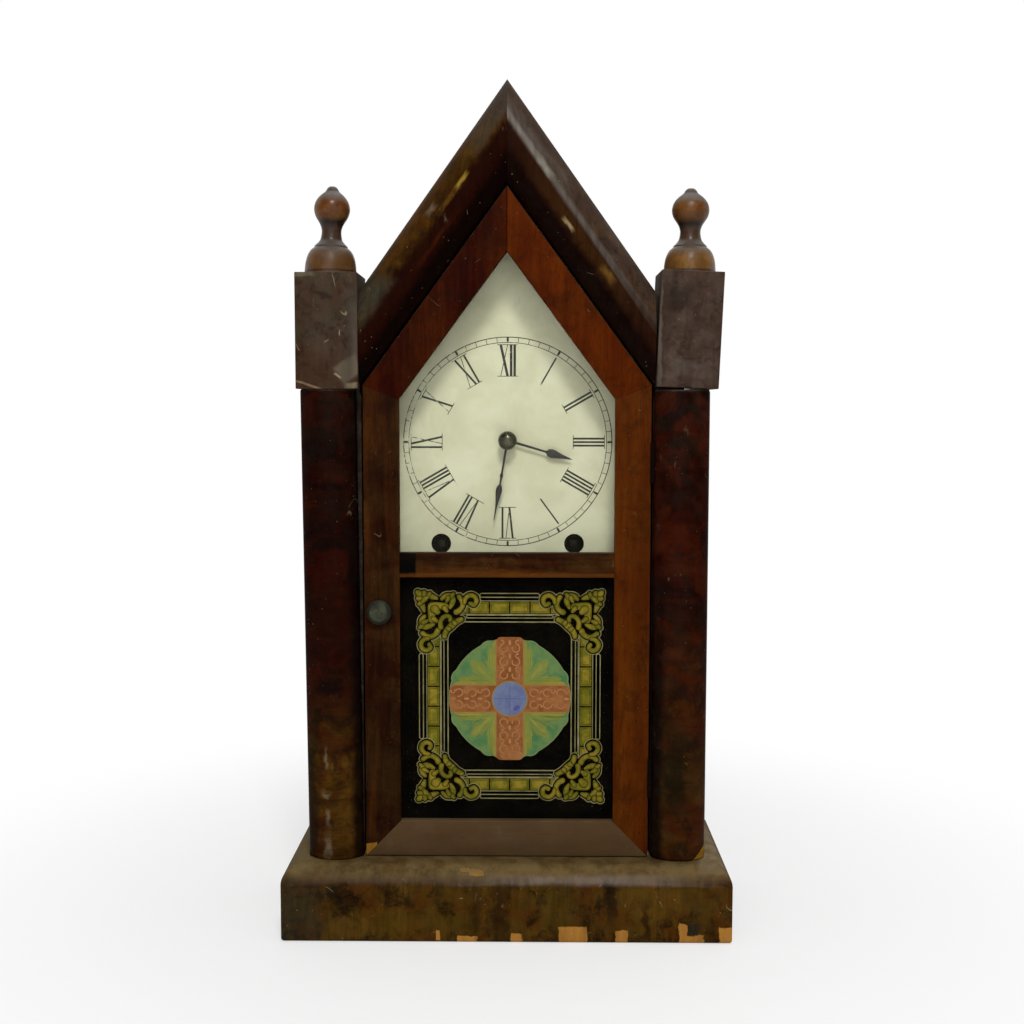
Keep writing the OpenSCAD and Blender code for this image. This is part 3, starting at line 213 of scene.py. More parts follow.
class Effect:
    """A node group with named inputs and outputs, built once and used by many finishes."""

    def __init__(self, name: str, outputs: Sequence[str], inputs: dict[str, Input]) -> None:
        """Makes the group's sockets.

        Args:
            name: the group's name.
            outputs: each output's name.
            inputs: the name and plain value of each input beside Vector; three numbers make it a vector.
        """
        self.tree = bpy.data.node_groups.new(name, "ShaderNodeTree")
        self.graph = Graph(self.tree)
        for label, value in {"Vector": (0.0, 0.0, 0.0), **inputs}.items():
            kind = "NodeSocketFloat" if isinstance(value, float) else "NodeSocketVector"
            self.tree.interface.new_socket(label, in_out="INPUT", socket_type=kind).default_value = value
        for label in outputs:
            self.tree.interface.new_socket(label, in_out="OUTPUT", socket_type="NodeSocketFloat")
        self.given = self.tree.nodes.new("NodeGroupInput").outputs
        self.result = self.tree.nodes.new("NodeGroupOutput").inputs

    def give(self, label: str, value: Input) -> None:
        """Feeds one of the group's outputs."""
        self.graph.feed(self.result[label], value)

    def use(self, graph: Graph, at: Input, **inputs: Input) -> Outputs:
        """Places the group in a material.

        Args:
            graph: the material's graph.
            at: where the pattern is read.
            **inputs: values of the group's other inputs.

        Returns:
            The group's outputs.
        """
        node = graph.tree.nodes.new("ShaderNodeGroup")
        node.node_tree = self.tree
        for key, value in {"Vector": at, **inputs}.items():
            graph.feed(node.inputs[key], value)
        return node.outputs


@cache
def veneer_effect() -> Effect:
    """Returns the figure and the pores of a sliced wood; Pace is its change per metre on each axis."""
    effect = Effect("veneer_figure", ("Figure", "Streaks", "Pores"), {"Pace": (60.0, 60.0, 6.0)})
    g = effect.graph
    base = g.vector("MULTIPLY", effect.given["Vector"], effect.given["Pace"])
    sway = g.noise(base, 0.6, 2.0)
    every_way = g.add("CombineXYZ", {0: sway, 1: sway, 2: sway})[0]
    bent = g.vector("ADD", base, g.vector("MULTIPLY", every_way, (1.6, 1.6, 1.6)))
    effect.give("Figure", g.rise(g.noise(bent, 0.8, 4.0, 0.62, 0.5), 0.32, 0.68))
    effect.give("Streaks", g.rise(g.noise(bent, 5.0, 3.0, 0.6), 0.35, 0.7))
    effect.give("Pores", g.rise(g.noise(bent, 24.0, 1.0, 0.5), 0.6, 0.72))
    return effect


@cache
def shellac_effect() -> Effect:
    """Returns the blotches and the fine crazing of an old finish."""
    effect = Effect("old_shellac", ("Blotch", "Stain", "Craze"), {"Size": 22.0})
    g = effect.graph
    at, size = effect.given["Vector"], effect.given["Size"]
    effect.give("Blotch", g.rise(g.noise(at, size, 6.0, 0.66, 0.9), 0.4, 0.62))
    effect.give("Stain", g.rise(g.apart(at, (0.31, 0.17, 0.53), g.times(size, 2.6), 5.0, 0.7, 0.6), 0.46, 0.66))
    cells = g.add("TexVoronoi", {"Vector": at, "Scale": g.times(size, 28.0)}, feature="DISTANCE_TO_EDGE")
    effect.give("Craze", g.rise(cells[0], 0.0, 0.09))
    return effect


@cache
def scuff_effect() -> Effect:
    """Returns short pale scratches, specks and smears; Amount is how much of them shows."""
    effect = Effect("scuffs", ("Mask",), {"Amount": 0.5})
    g = effect.graph
    at = effect.given["Vector"]
    line = g.rest(g.rise(g.away(g.noise(at, 60.0, 1.0, 0.4, 0.6), 0.5), 0.0, 0.008))
    scratch = g.times(line, g.rise(g.apart(at, (0.9, 0.2, 0.4), 75.0, 2.0), 0.64, 0.7))
    cells = g.add("TexVoronoi", {"Vector": at, "Scale": 330.0})
    wobble = g.times(g.noise(at, 1400.0, 3.0, 0.7), 0.3)
    speck = g.rest(g.rise(g.plus(cells[0], wobble), 0.2, 0.3))
    speck = g.times(speck, g.rise(g.axes(cells[1])[0], 0.5, 1.0))
    some = g.rise(g.apart(at, (0.1, 0.6, 0.8), 60.0, 4.0), 0.42, 0.56)
    smear = g.rise(g.noise(g.vector("MULTIPLY", at, (1.0, 1.0, 0.5)), 120.0, 8.0, 0.74), 0.62, 0.78)
    every = g.most(g.most(scratch, g.times(speck, some)), g.times(smear, 0.6))
    effect.give("Mask", g.times(every, effect.given["Amount"], clamp=True))
    return effect


@cache
def dust_effect() -> Effect:
    """Returns where dust lies: on faces that look up, and in a thin uneven film elsewhere."""
    effect = Effect("dust", ("Mask",), {"Normal": (0.0, 0.0, 1.0), "Top": 0.8, "Film": 0.1})
    g = effect.graph
    up = g.rise(g.axes(effect.given["Normal"])[2], 0.05, 0.85)
    patchy = g.rise(g.noise(effect.given["Vector"], 75.0, 6.0, 0.72), 0.36, 0.62)
    top = g.times(g.times(up, effect.given["Top"]), g.between(patchy, 0.45, 1.0))
    effect.give("Mask", g.plus(top, g.times(patchy, effect.given["Film"]), clamp=True))
    return effect


@cache
def patch_effect() -> Effect:
    """Returns a ragged patch of half-size Half round Centre, turned by Turn; Soft is the share of it that fades."""
    plain = {"Centre": (0.0, 0.0, 0.0), "Half": (0.01, 1.0, 0.01), "Turn": 0.0, "Ragged": 0.005, "Soft": 0.05}
    effect = Effect("patch", ("Mask",), plain)
    g, given = effect.graph, effect.given
    shake = g.vector("SUBTRACT", g.cloud(given["Vector"], 140.0, 5.0, 0.6)[1], (0.5, 0.5, 0.5))
    push = g.add("VectorMath", {0: shake, "Scale": given["Ragged"]}, operation="SCALE")[0]
    gap = g.vector("SUBTRACT", g.vector("ADD", given["Vector"], push), given["Centre"])
    gap = g.add("VectorRotate", {"Vector": gap, "Angle": given["Turn"]}, rotation_type="Y_AXIS")[0]
    x, y, z = g.axes(g.vector("DIVIDE", g.vector("ABSOLUTE", gap), given["Half"]))
    far = g.most(g.most(x, y), z)
    effect.give("Mask", g.rest(g.rise(far, g.rest(given["Soft"]), g.plus(1.0, given["Soft"]))))
    return effect


# ---------------------------------------------------------------- finishes


@dataclass(frozen=True)
class Finish:
    """Something that a material can be made of.

    Attributes:
        name: the material's name.
    """

    name: str

    def surface(self, g: Graph, place: Outputs) -> Inputs:
        """Returns what feeds the shader in the material's graph, from its texture coordinates."""
        raise NotImplementedError

    @cache
    def build(self) -> bpy.types.Material:
        """Builds the material, once for each finish.

        Returns:
            The material.
        """
        material = bpy.data.materials.new(self.name)
        material.use_nodes = True
        g = Graph(material.node_tree)
        shader = g.add("BsdfPrincipled", self.surface(g, g.place()))
        g.add("OutputMaterial", {"Surface": shader[0]})
        return material


@dataclass(frozen=True)
class Patch:
    """A place where the finish differs, in metres.

    Attributes:
        x: its middle, from left to right.
        z: its middle, upwards.
        half_x: half of its width.
        half_z: half of its height.
        colour: its colour.
        soft: share of it that fades out.
        ragged: how far its border strays.
        share: how much of the colour shows.
        chip: whether the veneer is missing there.
        y: its middle, from front to back.
        half_y: half of its depth.
        turn: the direction of its width, from +X towards +Z, in degrees.
    """

    x: float
    z: float
    half_x: float
    half_z: float
    colour: Colour = CHIP
    soft: float = 0.05
    ragged: float = 0.005
    share: float = 1.0
    chip: bool = True
    y: float = 0.0
    half_y: float = 1.0
    turn: float = 0.0

    def mask(self, g: Graph, at: Socket) -> Socket:
        """Works out where the patch shows.

        Args:
            g: the material's graph.
            at: the place.

        Returns:
            The patch's mask.
        """
        return patch_effect().use(
            g, at, Centre=(self.x, self.y, self.z), Half=(self.half_x, self.half_y, self.half_z),
            Turn=math.radians(self.turn), Ragged=self.ragged, Soft=self.soft,
        )[0]


def whole_patch(*looks: Union[float, Colour], **more: float) -> Patch:
    """Returns a patch that the veneer is whole under: all of a Patch's looks up to share, and any others."""
    return Patch(*looks, chip=False, **more)


@dataclass(frozen=True)
class Veneer(Finish):
    """Thin sliced wood under old shellac.

    Attributes:
        dark: colour of the dark figure.
        mid: colour of most of the wood.
        light: colour of the light figure.
        along: direction of the grain.
        pace: changes of the figure per metre across the grain.
        worn: colour where the finish is rubbed through.
        worn_share: how much of the surface is rubbed, from 0 to 1.
        worn_heights: heights between which the rubbing fades out upwards, or None for all over.
        stained: how much the dark stains show.
        dust: how much dust lies on faces that look up.
        dust_colour: colour of the dust.
        film: how much of a dull film there is elsewhere.
        scuffs: how many pale scratches and specks there are.
        gloss: roughness of the best of the finish.
        blotch: size of the blotches, as changes per metre.
        streaky: how strongly the fine dark streaks show.
        tint: colour that some of the blotches take.
        tinted: how much the tint shows.
        sheen: specular level.
        scratch: colour of the scratches and specks.
        patches: places where the finish differs.
    """

    dark: Colour
    mid: Colour
    light: Colour
    along: Along = Along.HEIGHT
    pace: float = 70.0
    worn: Colour = (0.07, 0.035, 0.008)
    worn_share: float = 0.3
    worn_heights: tuple[float, float] | None = None
    stained: float = 0.6
    dust: float = 0.6
    dust_colour: Colour = (0.16, 0.125, 0.09)
    film: float = 0.05
    scuffs: float = 0.5
    gloss: float = 0.34
    blotch: float = 22.0
    streaky: float = 0.5
    tint: Colour = (0.05, 0.014, 0.002)
    tinted: float = 0.0
    sheen: float = 0.012
    scratch: Colour = (0.22, 0.17, 0.1)
    patches: tuple[Patch, ...] = ()

    def surface(self, g: Graph, place: Outputs) -> Inputs:
        """Works out wood, shellac and patches, with scuffs and dust over them.

        Args:
            g: the material's graph.
            place: the outputs of its texture coordinates.

        Returns:
            The shader's inputs.
        """
        at = place["Object"]
        wood = veneer_effect().use(g, at, Pace=shade(self.along.value, self.pace))
        finish = shellac_effect().use(g, at, Size=self.blotch)
        scuffs = scuff_effect().use(g, at, Amount=self.scuffs)[0]
        dust = dust_effect().use(g, at, Normal=place["Normal"], Top=self.dust, Film=self.film)[0]
        colour = g.mix(g.rise(wood["Figure"], 0.0, 0.5), self.dark, self.mid)
        colour = g.mix(g.rise(wood["Figure"], 0.5, 1.0), colour, self.light)
        colour = g.tone(colour, self.dark, wood["Streaks"], self.streaky)
        rub = g.times(finish["Blotch"], min(1.0, self.worn_share * 2.0))
        if self.worn_heights:
            sway = g.times(g.noise(at, 30.0, 4.0, 0.65), 0.05)
            fade = g.rest(g.rise(g.plus(g.axes(at)[2], sway), *self.worn_heights))
            rub = g.times(g.plus(rub, g.times(fade, 0.5)), fade, clamp=True)
        colour = g.mix(rub, colour, g.mix(wood["Streaks"], self.worn, shade(self.worn, 0.55)))
        if self.tinted:
            patchy = g.rise(g.apart(at, (0.7, 0.4, 0.2), 1.6 * self.blotch, 5.0, 0.62, 0.5), 0.47, 0.58)
            colour = g.tone(colour, self.tint, patchy, self.tinted)
        colour = g.tone(colour, STAIN, finish["Stain"], self.stained)
        colour = g.tone(colour, STAIN, wood["Pores"], 0.8 * self.streaky)
        gone: Input = 0.0
        for patch in self.patches:
            mask = patch.mask(g, at)
            shades = g.mix(wood["Streaks"], patch.colour, shade(patch.colour, 0.66))
            colour = g.tone(colour, shades, mask, patch.share)
            if patch.chip:
                gone = g.most(gone, mask)
        colour = g.tone(colour, self.scratch, scuffs, 0.7)
        rough = g.between(finish["Blotch"], self.gloss, self.gloss + 0.14)
        height = g.plus(g.times(g.rest(wood["Pores"]), 0.35), g.times(finish["Craze"], 0.12))
        normal = g.bump(g.less(height, g.times(scuffs, 0.6)), 0.00012, 0.5)
        if any(patch.chip for patch in self.patches):
            normal = g.bump(g.rest(gone), 0.0006, 1.0, normal)
        return {
            "Base Color": g.mix(dust, colour, self.dust_colour),
            "Roughness": g.between(g.most(g.most(dust, scuffs), gone), rough, 0.85),
            "Normal": normal,
            "Specular IOR Level": self.sheen,
        }


@dataclass(frozen=True)
class Turned(Finish):
    """Turned and stained fruitwood, darkened between two heights by painted shade under the ball, and by dirt.

    Attributes:
        wood: colour of the wood.
        foot: colour of the wood below the neck.
        dark: colour of the painted shade and dirt in the hollows.
        neck: height of the middle of the neck.
        reach: half of the height that the painted shade and dirt cover.
        tip: height above which the tip is dark.
        groove: height of the painted shadow line near the foot, where a groove would be.
    """

    wood: Colour
    foot: Colour
    dark: Colour
    neck: float
    reach: float
    tip: float
    groove: float

    def surface(self, g: Graph, place: Outputs) -> Inputs:
        """Works out mottled wood with painted shade and dirt in its hollows, painted shade under the ball, and grey
        dust and a painted sheen on top.

        Args:
            g: the material's graph.
            place: the outputs of its texture coordinates.

        Returns:
            The shader's inputs.
        """
        at = place["Object"]
        level = g.axes(at)[2]
        grain = veneer_effect().use(g, at, Pace=(160.0, 160.0, 14.0))
        finish = shellac_effect().use(g, at, Size=50.0)
        scuffs = scuff_effect().use(g, at, Amount=0.5)[0]
        height = g.plus(level, g.times(g.noise(at, 120.0, 3.0), 0.002))
        # Darkening: painted shade with dirt round the neck under the ball, a dark tip, the finish's blotches, and a
        # painted shadow line near the foot.
        darkening = g.rest(g.rise(g.away(height, self.neck), self.reach * 0.7, self.reach * 1.1))
        darkening = g.most(darkening, g.rise(height, self.tip, self.tip + 0.004))
        darkening = g.most(darkening, g.times(finish["Blotch"], 0.4))
        darkening = g.most(darkening, g.rest(g.rise(g.away(level, self.groove), 0.0002, 0.0011)))
        reddish = (0.72 * self.wood[0], 0.5 * self.wood[1], 0.4 * self.wood[2])
        mottled = g.rise(g.noise(at, 90.0, 3.0, 0.6), 0.42, 0.58)
        foot = g.mix(mottled, self.foot, shade(self.foot, 0.72))
        colour = g.mix(g.rise(height, self.neck, self.neck + 0.002), foot, g.mix(mottled, self.wood, reddish))
        colour = g.tone(colour, self.dark, grain["Streaks"], 0.16)
        colour = g.tone(colour, self.dark, darkening, 0.85)
        # Painted shade on the underside of the ball.
        under = g.rest(g.rise(g.away(height, self.neck + 0.85 * self.reach), 0.0, self.reach * 0.42))
        colour = g.tone(colour, shade(self.dark, 0.3), under, 0.9)
        # Faces that look up turn grey: dust and a painted sheen.
        colour = g.tone(colour, (0.062, 0.05, 0.04), g.rise(g.axes(place["Normal"])[2], 0.2, 0.75), 0.75)
        rings = g.noise(g.vector("MULTIPLY", at, (0.0, 0.0, 1.0)), 1500.0, 1.0)
        return {
            "Base Color": g.tone(colour, (0.35, 0.27, 0.2), scuffs, 0.6),
            "Roughness": g.between(finish["Blotch"], 0.26, 0.42),
            "Normal": g.bump(g.plus(g.times(rings, 0.5), grain["Pores"]), 0.0001, 0.35),
            "Specular IOR Level": 0.2,
        }


@dataclass(frozen=True)
class RawPine(Finish):
    """Unfinished pine, browned with age.

    Attributes:
        wood: colour of the soft wood.
        grain: colour of the grain lines.
        along: direction of the grain.
    """

    wood: Colour
    grain: Colour
    along: Along = Along.HEIGHT

    def surface(self, g: Graph, place: Outputs) -> Inputs:
        """Works out growth rings, grime and dust.

        Args:
            g: the material's graph.
            place: the outputs of its texture coordinates.

        Returns:
            The shader's inputs.
        """
        at = place["Object"]
        stretched = g.vector("MULTIPLY", at, self.along.value)
        sway = g.times(g.noise(stretched, 9.0, 3.0, 0.5), 0.16)
        across = [axis for axis, share in zip(g.axes(at), self.along.value) if share == 1.0]
        rings = g.math("FRACT", g.times(g.plus(g.plus(*across), sway), 170.0))
        late = g.times(g.rise(rings, 0.3, 0.94), g.rest(g.rise(rings, 0.94, 1.0)))
        fibres = g.noise(g.vector("MULTIPLY", stretched, (1.0, 1.0, 0.4)), 900.0, 2.0, 0.6)
        lines = g.times(late, g.between(fibres, 0.5, 1.1), clamp=True)
        darkening = shellac_effect().use(g, at, Size=12.0)
        dust = dust_effect().use(g, at, Normal=place["Normal"], Top=0.5, Film=0.12)[0]
        colour = g.tone(g.mix(lines, self.wood, self.grain), self.grain, g.noise(stretched, 26.0, 3.0), 0.5)
        colour = g.tone(colour, shade(self.grain, 0.4), darkening["Blotch"], 0.35)
        return {
            "Base Color": g.mix(dust, colour, (0.2, 0.17, 0.13)),
            "Roughness": g.between(lines, 0.72, 0.86),
            "Normal": g.bump(g.plus(lines, g.noise(at, 900.0, 2.0)), 0.00015, 0.5),
            "Specular IOR Level": 0.12,
        }


@dataclass(frozen=True)
class OldMetal(Finish):
    """Metal with tarnish, fine brushing and specks.

    Attributes:
        metal: colour of the clean metal.
        tarnish: colour of the tarnish.
        share: how much of it is tarnished, from 0 to 1.
        rough: roughness of the clean metal.
        size: changes of the tarnish per metre.
        metallic: how metallic the clean surface is.
        sheen: specular level.
    """

    metal: Colour
    tarnish: Colour
    share: float
    rough: float
    size: float = 90.0
    metallic: float = 1.0
    sheen: float = 0.5

    def surface(self, g: Graph, place: Outputs) -> Inputs:
        """Works out clean metal, duller where it is tarnished.

        Args:
            g: the material's graph.
            place: the outputs of its texture coordinates.

        Returns:
            The shader's inputs.
        """
        at = place["Object"]
        low = 0.66 - 0.4 * self.share
        dull = g.rise(g.noise(at, self.size * 0.8, 6.0, 0.65), low - 0.1, low + 0.12)
        specks = g.rise(g.noise(at, 1400.0, 2.0), 0.62, 0.7)
        dull = g.most(dull, g.times(specks, 0.7))
        brushed = g.noise(g.vector("MULTIPLY", at, (1.0, 1.0, 0.06)), 2600.0, 2.0)
        old = shellac_effect().use(g, at, Size=self.size)
        colour = g.tone(g.mix(dull, self.metal, self.tarnish), shade(self.tarnish, 0.4), old["Stain"], 0.3)
        rough = g.between(dull, self.rough, min(0.8, self.rough + 0.3))
        return {
            "Base Color": colour,
            "Roughness": g.plus(rough, g.times(brushed, 0.1)),
            "Metallic": g.between(dull, self.metallic, self.metallic * 0.55),
            "Normal": g.bump(g.plus(brushed, g.times(dull, 0.6)), 0.00005, 0.4),
            "Specular IOR Level": self.sheen,
        }


@dataclass(frozen=True)
class Paint(Finish):
    """Aged paint: on the dial, and for the ornament of the tablet.

    Attributes:
        colour: colour of the paint.
        aged: colour that it turns to in patches.
        under: colour that shows where it has worn away.
        share: how much is aged, from 0 to 1.
        loss: how much has worn away, from 0 to 1.
        size: changes of the patches per metre.
        rough: roughness.
        lines: how strongly fine cracks show, from 0 to 1.
        loss_left: how much more is lost towards the left of the clock, from 0 to 1.
        sheen: specular level, 0 for paint that lies against the back of glass.
    """

    colour: Colour
    aged: Colour
    under: Colour
    share: float = 0.5
    loss: float = 0.0
    size: float = 60.0
    rough: float = 0.55
    lines: float = 0.0
    loss_left: float = 0.0
    sheen: float = 0.2

    def surface(self, g: Graph, place: Outputs) -> Inputs:
        """Works out aged patches, spots, cracks and worn places.

        Args:
            g: the material's graph.
            place: the outputs of its texture coordinates.

        Returns:
            The shader's inputs.
        """
        at = place["Object"]
        old = shellac_effect().use(g, at, Size=self.size)
        patches = g.rise(g.noise(at, self.size, 5.0, 0.65, 0.4), 0.36, 0.64)
        colour = g.tone(self.colour, self.aged, patches, min(1.0, 2.0 * self.share))
        colour = g.tone(colour, shade(self.aged, 0.6), g.rise(g.noise(at, 260.0, 4.0, 0.7), 0.68, 0.8), 0.4)
        if self.lines:
            crack = g.rest(g.rise(g.away(g.noise(at, 30.0, 4.0, 0.6, 1.2), 0.5), 0.0, 0.004))
            some = g.rise(g.apart(at, (0.2, 0.7, 0.1), 24.0, 2.0), 0.55, 0.65)
            colour = g.tone(colour, shade(self.aged, 0.5), g.times(crack, some), self.lines)
        if self.loss or self.loss_left:
            left = g.rise(g.times(g.axes(at)[0], -1.0), 0.0, 0.06)
            limit = g.less(0.78 - 0.4 * self.loss, g.times(left, 0.3 * self.loss_left))
            worn = g.rise(g.less(g.noise(at, 330.0, 6.0, 0.72), limit), -0.03, 0.05)
            colour = g.mix(worn, colour, self.under)
        return {
            "Base Color": colour,
            "Roughness": g.between(old["Blotch"], self.rough, self.rough + 0.12),
            "Normal": g.bump(g.plus(old["Craze"], g.noise(at, 700.0, 3.0)), 0.00004, 0.35),
            "Specular IOR Level": self.sheen,
        }


@dataclass(frozen=True)
class WindowGlass(Finish):
    """Clear old window glass with a faint film of dust.

    Attributes:
        film: colour of the film.
        cover: how much the film hides, from 0 to 1.
    """

    film: Colour
    cover: float

    def surface(self, g: Graph, place: Outputs) -> Inputs:
        """Works out a patchy film on wavy glass.

        Args:
            g: the material's graph.
            place: the outputs of its texture coordinates.

        Returns:
            The shader's inputs.
        """
        at = place["Object"]
        film = shellac_effect().use(g, at, Size=30.0)["Blotch"]
        return {
            "Base Color": self.film,
            "Roughness": g.between(film, 0.06, 0.14),
            "Alpha": g.between(film, self.cover, self.cover * 1.8),
            "Normal": g.bump(g.noise(at, 18.0, 2.0), 0.0006, 0.5),
            "Specular IOR Level": 0.12,
        }


# ---------------------------------------------------------------- pieces


def finished(
    name: str, bm: bmesh.types.BMesh, finishes: Sequence[Finish], body: str
) -> bpy.types.Object:
    """Makes an object at the origin from a mesh, and rides it on its body.

    Args:
        name: the piece's name.
        bm: the mesh, in the shared frame; it is freed.
        finishes: its finishes, in the order of the faces' numbers.
        body: the body that it rides on.

    Returns:
        The new object.
    """
    mesh = bpy.data.meshes.new(name)
    bm.to_mesh(mesh)
    bm.free()
    for finish in finishes:
        mesh.materials.append(finish.build())
    piece = bpy.data.objects.new(name, mesh)
    bpy.context.scene.collection.objects.link(piece)
    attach(piece, body)
    LOG.info("%s: %d faces, on %s", name, len(mesh.polygons), body)
    return piece


def merged(node: str, bend: float) -> bmesh.types.BMesh:
    """Copies a node's mesh, welded, with its flat faces joined.

    Args:
        node: the CAD node.
        bend: degrees under which two faces count as flat.

    Returns:
        The copy.
    """
    bm = bmesh.new()
    bm.from_mesh(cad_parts[node].data)
    bmesh.ops.remove_doubles(bm, verts=bm.verts, dist=WELD)
    bmesh.ops.dissolve_limit(bm, angle_limit=math.radians(bend), verts=bm.verts, edges=bm.edges)
    bm.normal_update()
    return bm


def rubbed(
    node: str, body: str, finish: Finish, edge: float = 0.0, foot: float = 0.0
) -> bpy.types.Object:
    """Swaps a node for a copy whose sharp edges are rubbed round.

    Args:
        node: the node's name.
        body: the body that it is on.
        finish: its finish.
        edge: width of the rubbed edge, or 0 for smooth shading alone.
        foot: width of the worn edge along its foot, on the side away from the clock's middle.

    Returns:
        The new object.
    """
    bm = merged(node, FLAT_BEND)
    if foot:
        low = min(v.co.z for v in bm.verts)
        bevel(bm, [e for e in bm.edges if max(v.co.z for v in e.verts) < low + 10 * WELD and outer(e)], foot, 4)
    if edge:
        bevel(bm, [e for e in bm.edges if SHARP_BENDS[0] < bent(e) < SHARP_BENDS[1]], edge, 3)
    for face in bm.faces:
        face.smooth = True
        face.material_index = 0
    for e in bm.edges:
        e.smooth = 0 <= bent(e) < SOFT_BEND
    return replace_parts(finished(f"{node}_worn", bm, [finish], body), node)


def bent(edge: bmesh.types.BMEdge) -> float:
    """Returns the angle in degrees between an edge's two faces, or -1 where there aren't two."""
    return math.degrees(edge.calc_face_angle()) if len(edge.link_faces) == 2 else -1.0


def outer(edge: bmesh.types.BMEdge) -> bool:
    """Tells whether an upright face beside the edge looks away from the clock's middle, along X or forwards."""
    middle = (edge.verts[0].co + edge.verts[1].co) / 2
    return any(f.normal.y < -0.9 or f.normal.x * math.copysign(1.0, middle.x) > 0.9 for f in edge.link_faces)


def bevel(bm: bmesh.types.BMesh, edges: Sequence[bmesh.types.BMEdge], width: float, segments: int) -> None:
    """Rounds edges over.

    Args:
        bm: the mesh.
        edges: its edges to round.
        width: how far the rounding reaches.
        segments: faces across it.
    """
    bmesh.ops.bevel(
        bm, geom=edges, offset=width, offset_type="OFFSET", segments=segments, profile=0.5, affect="EDGES",
        clamp_overlap=True, material=-1, loop_slide=True,
    )


def dress(node: str, finish: Finish) -> None:
    """Gives a node that keeps its shape a new finish.

    Args:
        node: the CAD node.
        finish: its finish.
    """
    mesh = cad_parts[node].data
    mesh.materials.clear()
    mesh.materials.append(finish.build())
    LOG.info("%s: %s", node, finish.name)


class FlatWork:
    """Flat painted shapes that face the viewer, each a hair in front of the last.

    Shapes of one layer lie almost in one plane; every layer stands in front of the one before.
    LAYER is the depth from one to the next, SHAPE the depth between the shapes of one.
    """

    LAYER = 0.000014
    SHAPE = 0.0000004
    SHAPES = 30

    def __init__(self, back: float) -> None:
        """Starts an empty sheet.

        Args:
            back: y of the surface behind it.
        """
        self.bm = bmesh.new()
        self.back = back
        self.layer = 1
        self.shape = 0

    def _close(self, verts: Iterable[bmesh.types.BMVert], ink: int) -> None:
        """Turns the faces of a new shape to the viewer, paints them, and moves on by one shape.

        Args:
            verts: the shape's vertices.
            ink: its material's place in the list.
        """
        for face in {face for vert in verts for face in vert.link_faces}:
            face.normal_update()
            if face.normal.y > 0:
                face.normal_flip()
            face.material_index = ink
        self.shape = (self.shape + 1) % self.SHAPES

    @property
    def y(self) -> float:
        """Depth of the present shape."""
        return self.back - self.layer * self.LAYER - self.shape * self.SHAPE

    def next(self) -> None:
        """Goes on to the next layer towards the viewer."""
        self.layer += 1

    def placed(self, at: Spot, turn: float) -> Matrix:
        """Returns the place of a shape, its length turned from +X towards +Z by that angle in radians."""
        return Matrix.Translation((at[0], self.y, at[1])) @ Matrix.Rotation(-turn, 4, "Y")

    def disc(
        self, at: Spot, radius: float, ink: int = 0, stretch: float = 1.0, turn: float = 0.0, sides: int = 20
    ) -> None:
        """Paints a disc, an ellipse or a shape of few sides.

        Args:
            at: its middle, as x and z.
            radius: its half-length.
            ink: number of the paint.
            stretch: its width over its length.
            turn: the direction of its length, from +X towards +Z, in radians.
            sides: number of its sides.
        """
        upright = Matrix.Rotation(math.pi / 2, 4, "X") @ Matrix.Rotation(math.pi / 2, 4, "Z")
        matrix = self.placed(at, turn) @ Matrix.Diagonal((1.0, 1.0, stretch, 1.0)) @ upright
        made = bmesh.ops.create_circle(self.bm, cap_ends=True, segments=sides, radius=radius, matrix=matrix)
        self._close(made["verts"], ink)

    def stroke(self, a: Spot, b: Spot, width: float, ink: int = 0) -> None:
        """Paints a straight stroke.

        Args:
            a: its start.
            b: its end.
            width: its width.
            ink: its material's place in the list.
        """
        run, rise = b[0] - a[0], b[1] - a[1]
        size = Matrix.Rotation(math.pi / 2, 4, "X") @ Matrix.Diagonal((math.hypot(run, rise), width, 1.0, 1.0))
        matrix = self.placed(((a[0] + b[0]) / 2, (a[1] + b[1]) / 2), math.atan2(rise, run)) @ size
        made = bmesh.ops.create_grid(self.bm, x_segments=1, y_segments=1, size=0.5, matrix=matrix)
        self._close(made["verts"], ink)

    def ribbon(self, line: Sequence[Triple], ink: int = 0) -> None:
        """Paints a stroke with round ends, along places that each have their own width.

        Args:
            line: its places, each as x, z and width.
            ink: number of the paint.
        """
        parts = len(line) - 1
        made = bmesh.ops.create_grid(self.bm, x_segments=parts, y_segments=1, size=0.5)["verts"]
        for vert in made:
            at = round((vert.co.x + 0.5) * parts)
            x, z, width = line[at]
            a, b = line[max(at - 1, 0)], line[min(at + 1, parts)]
            away = math.copysign(width / 2, vert.co.y) / math.hypot(b[0] - a[0], b[1] - a[1])
            vert.co = (x - away * (b[1] - a[1]), self.y, z + away * (b[0] - a[0]))
        self._close(made, ink)
        for x, z, width in (line[0], line[-1]):
            self.disc((x, z), width / 2, ink, sides=10)

    def arc(
        self, at: Spot, radius: float, width: float, start: float, sweep: float, ink: int = 0, steps: int = 14
    ) -> None:
        """Paints part of a ring.

        Args:
            at: its centre.
            radius: radius of its middle line.
            width: its width.
            start: angle where it starts, in radians from +X towards +Z.
            sweep: angle that it turns through.
            ink: number of the paint.
            steps: number of its sides.
        """
        centre = Vector((at[0], self.y, at[1]))
        out = Vector((math.cos(start), 0.0, math.sin(start)))
        ends = [self.bm.verts.new(centre + r * out) for r in (radius - width / 2, radius + width / 2)]
        old = len(self.bm.verts) - 2
        bmesh.ops.spin(
            self.bm, geom=[*ends, self.bm.edges.new(ends)], axis=(0.0, -1.0, 0.0), cent=centre, angle=sweep,
            steps=steps, use_merge=abs(abs(sweep) - FULL_TURN) < WELD,
        )
        self.bm.verts.ensure_lookup_table()
        self._close(self.bm.verts[old:], ink)


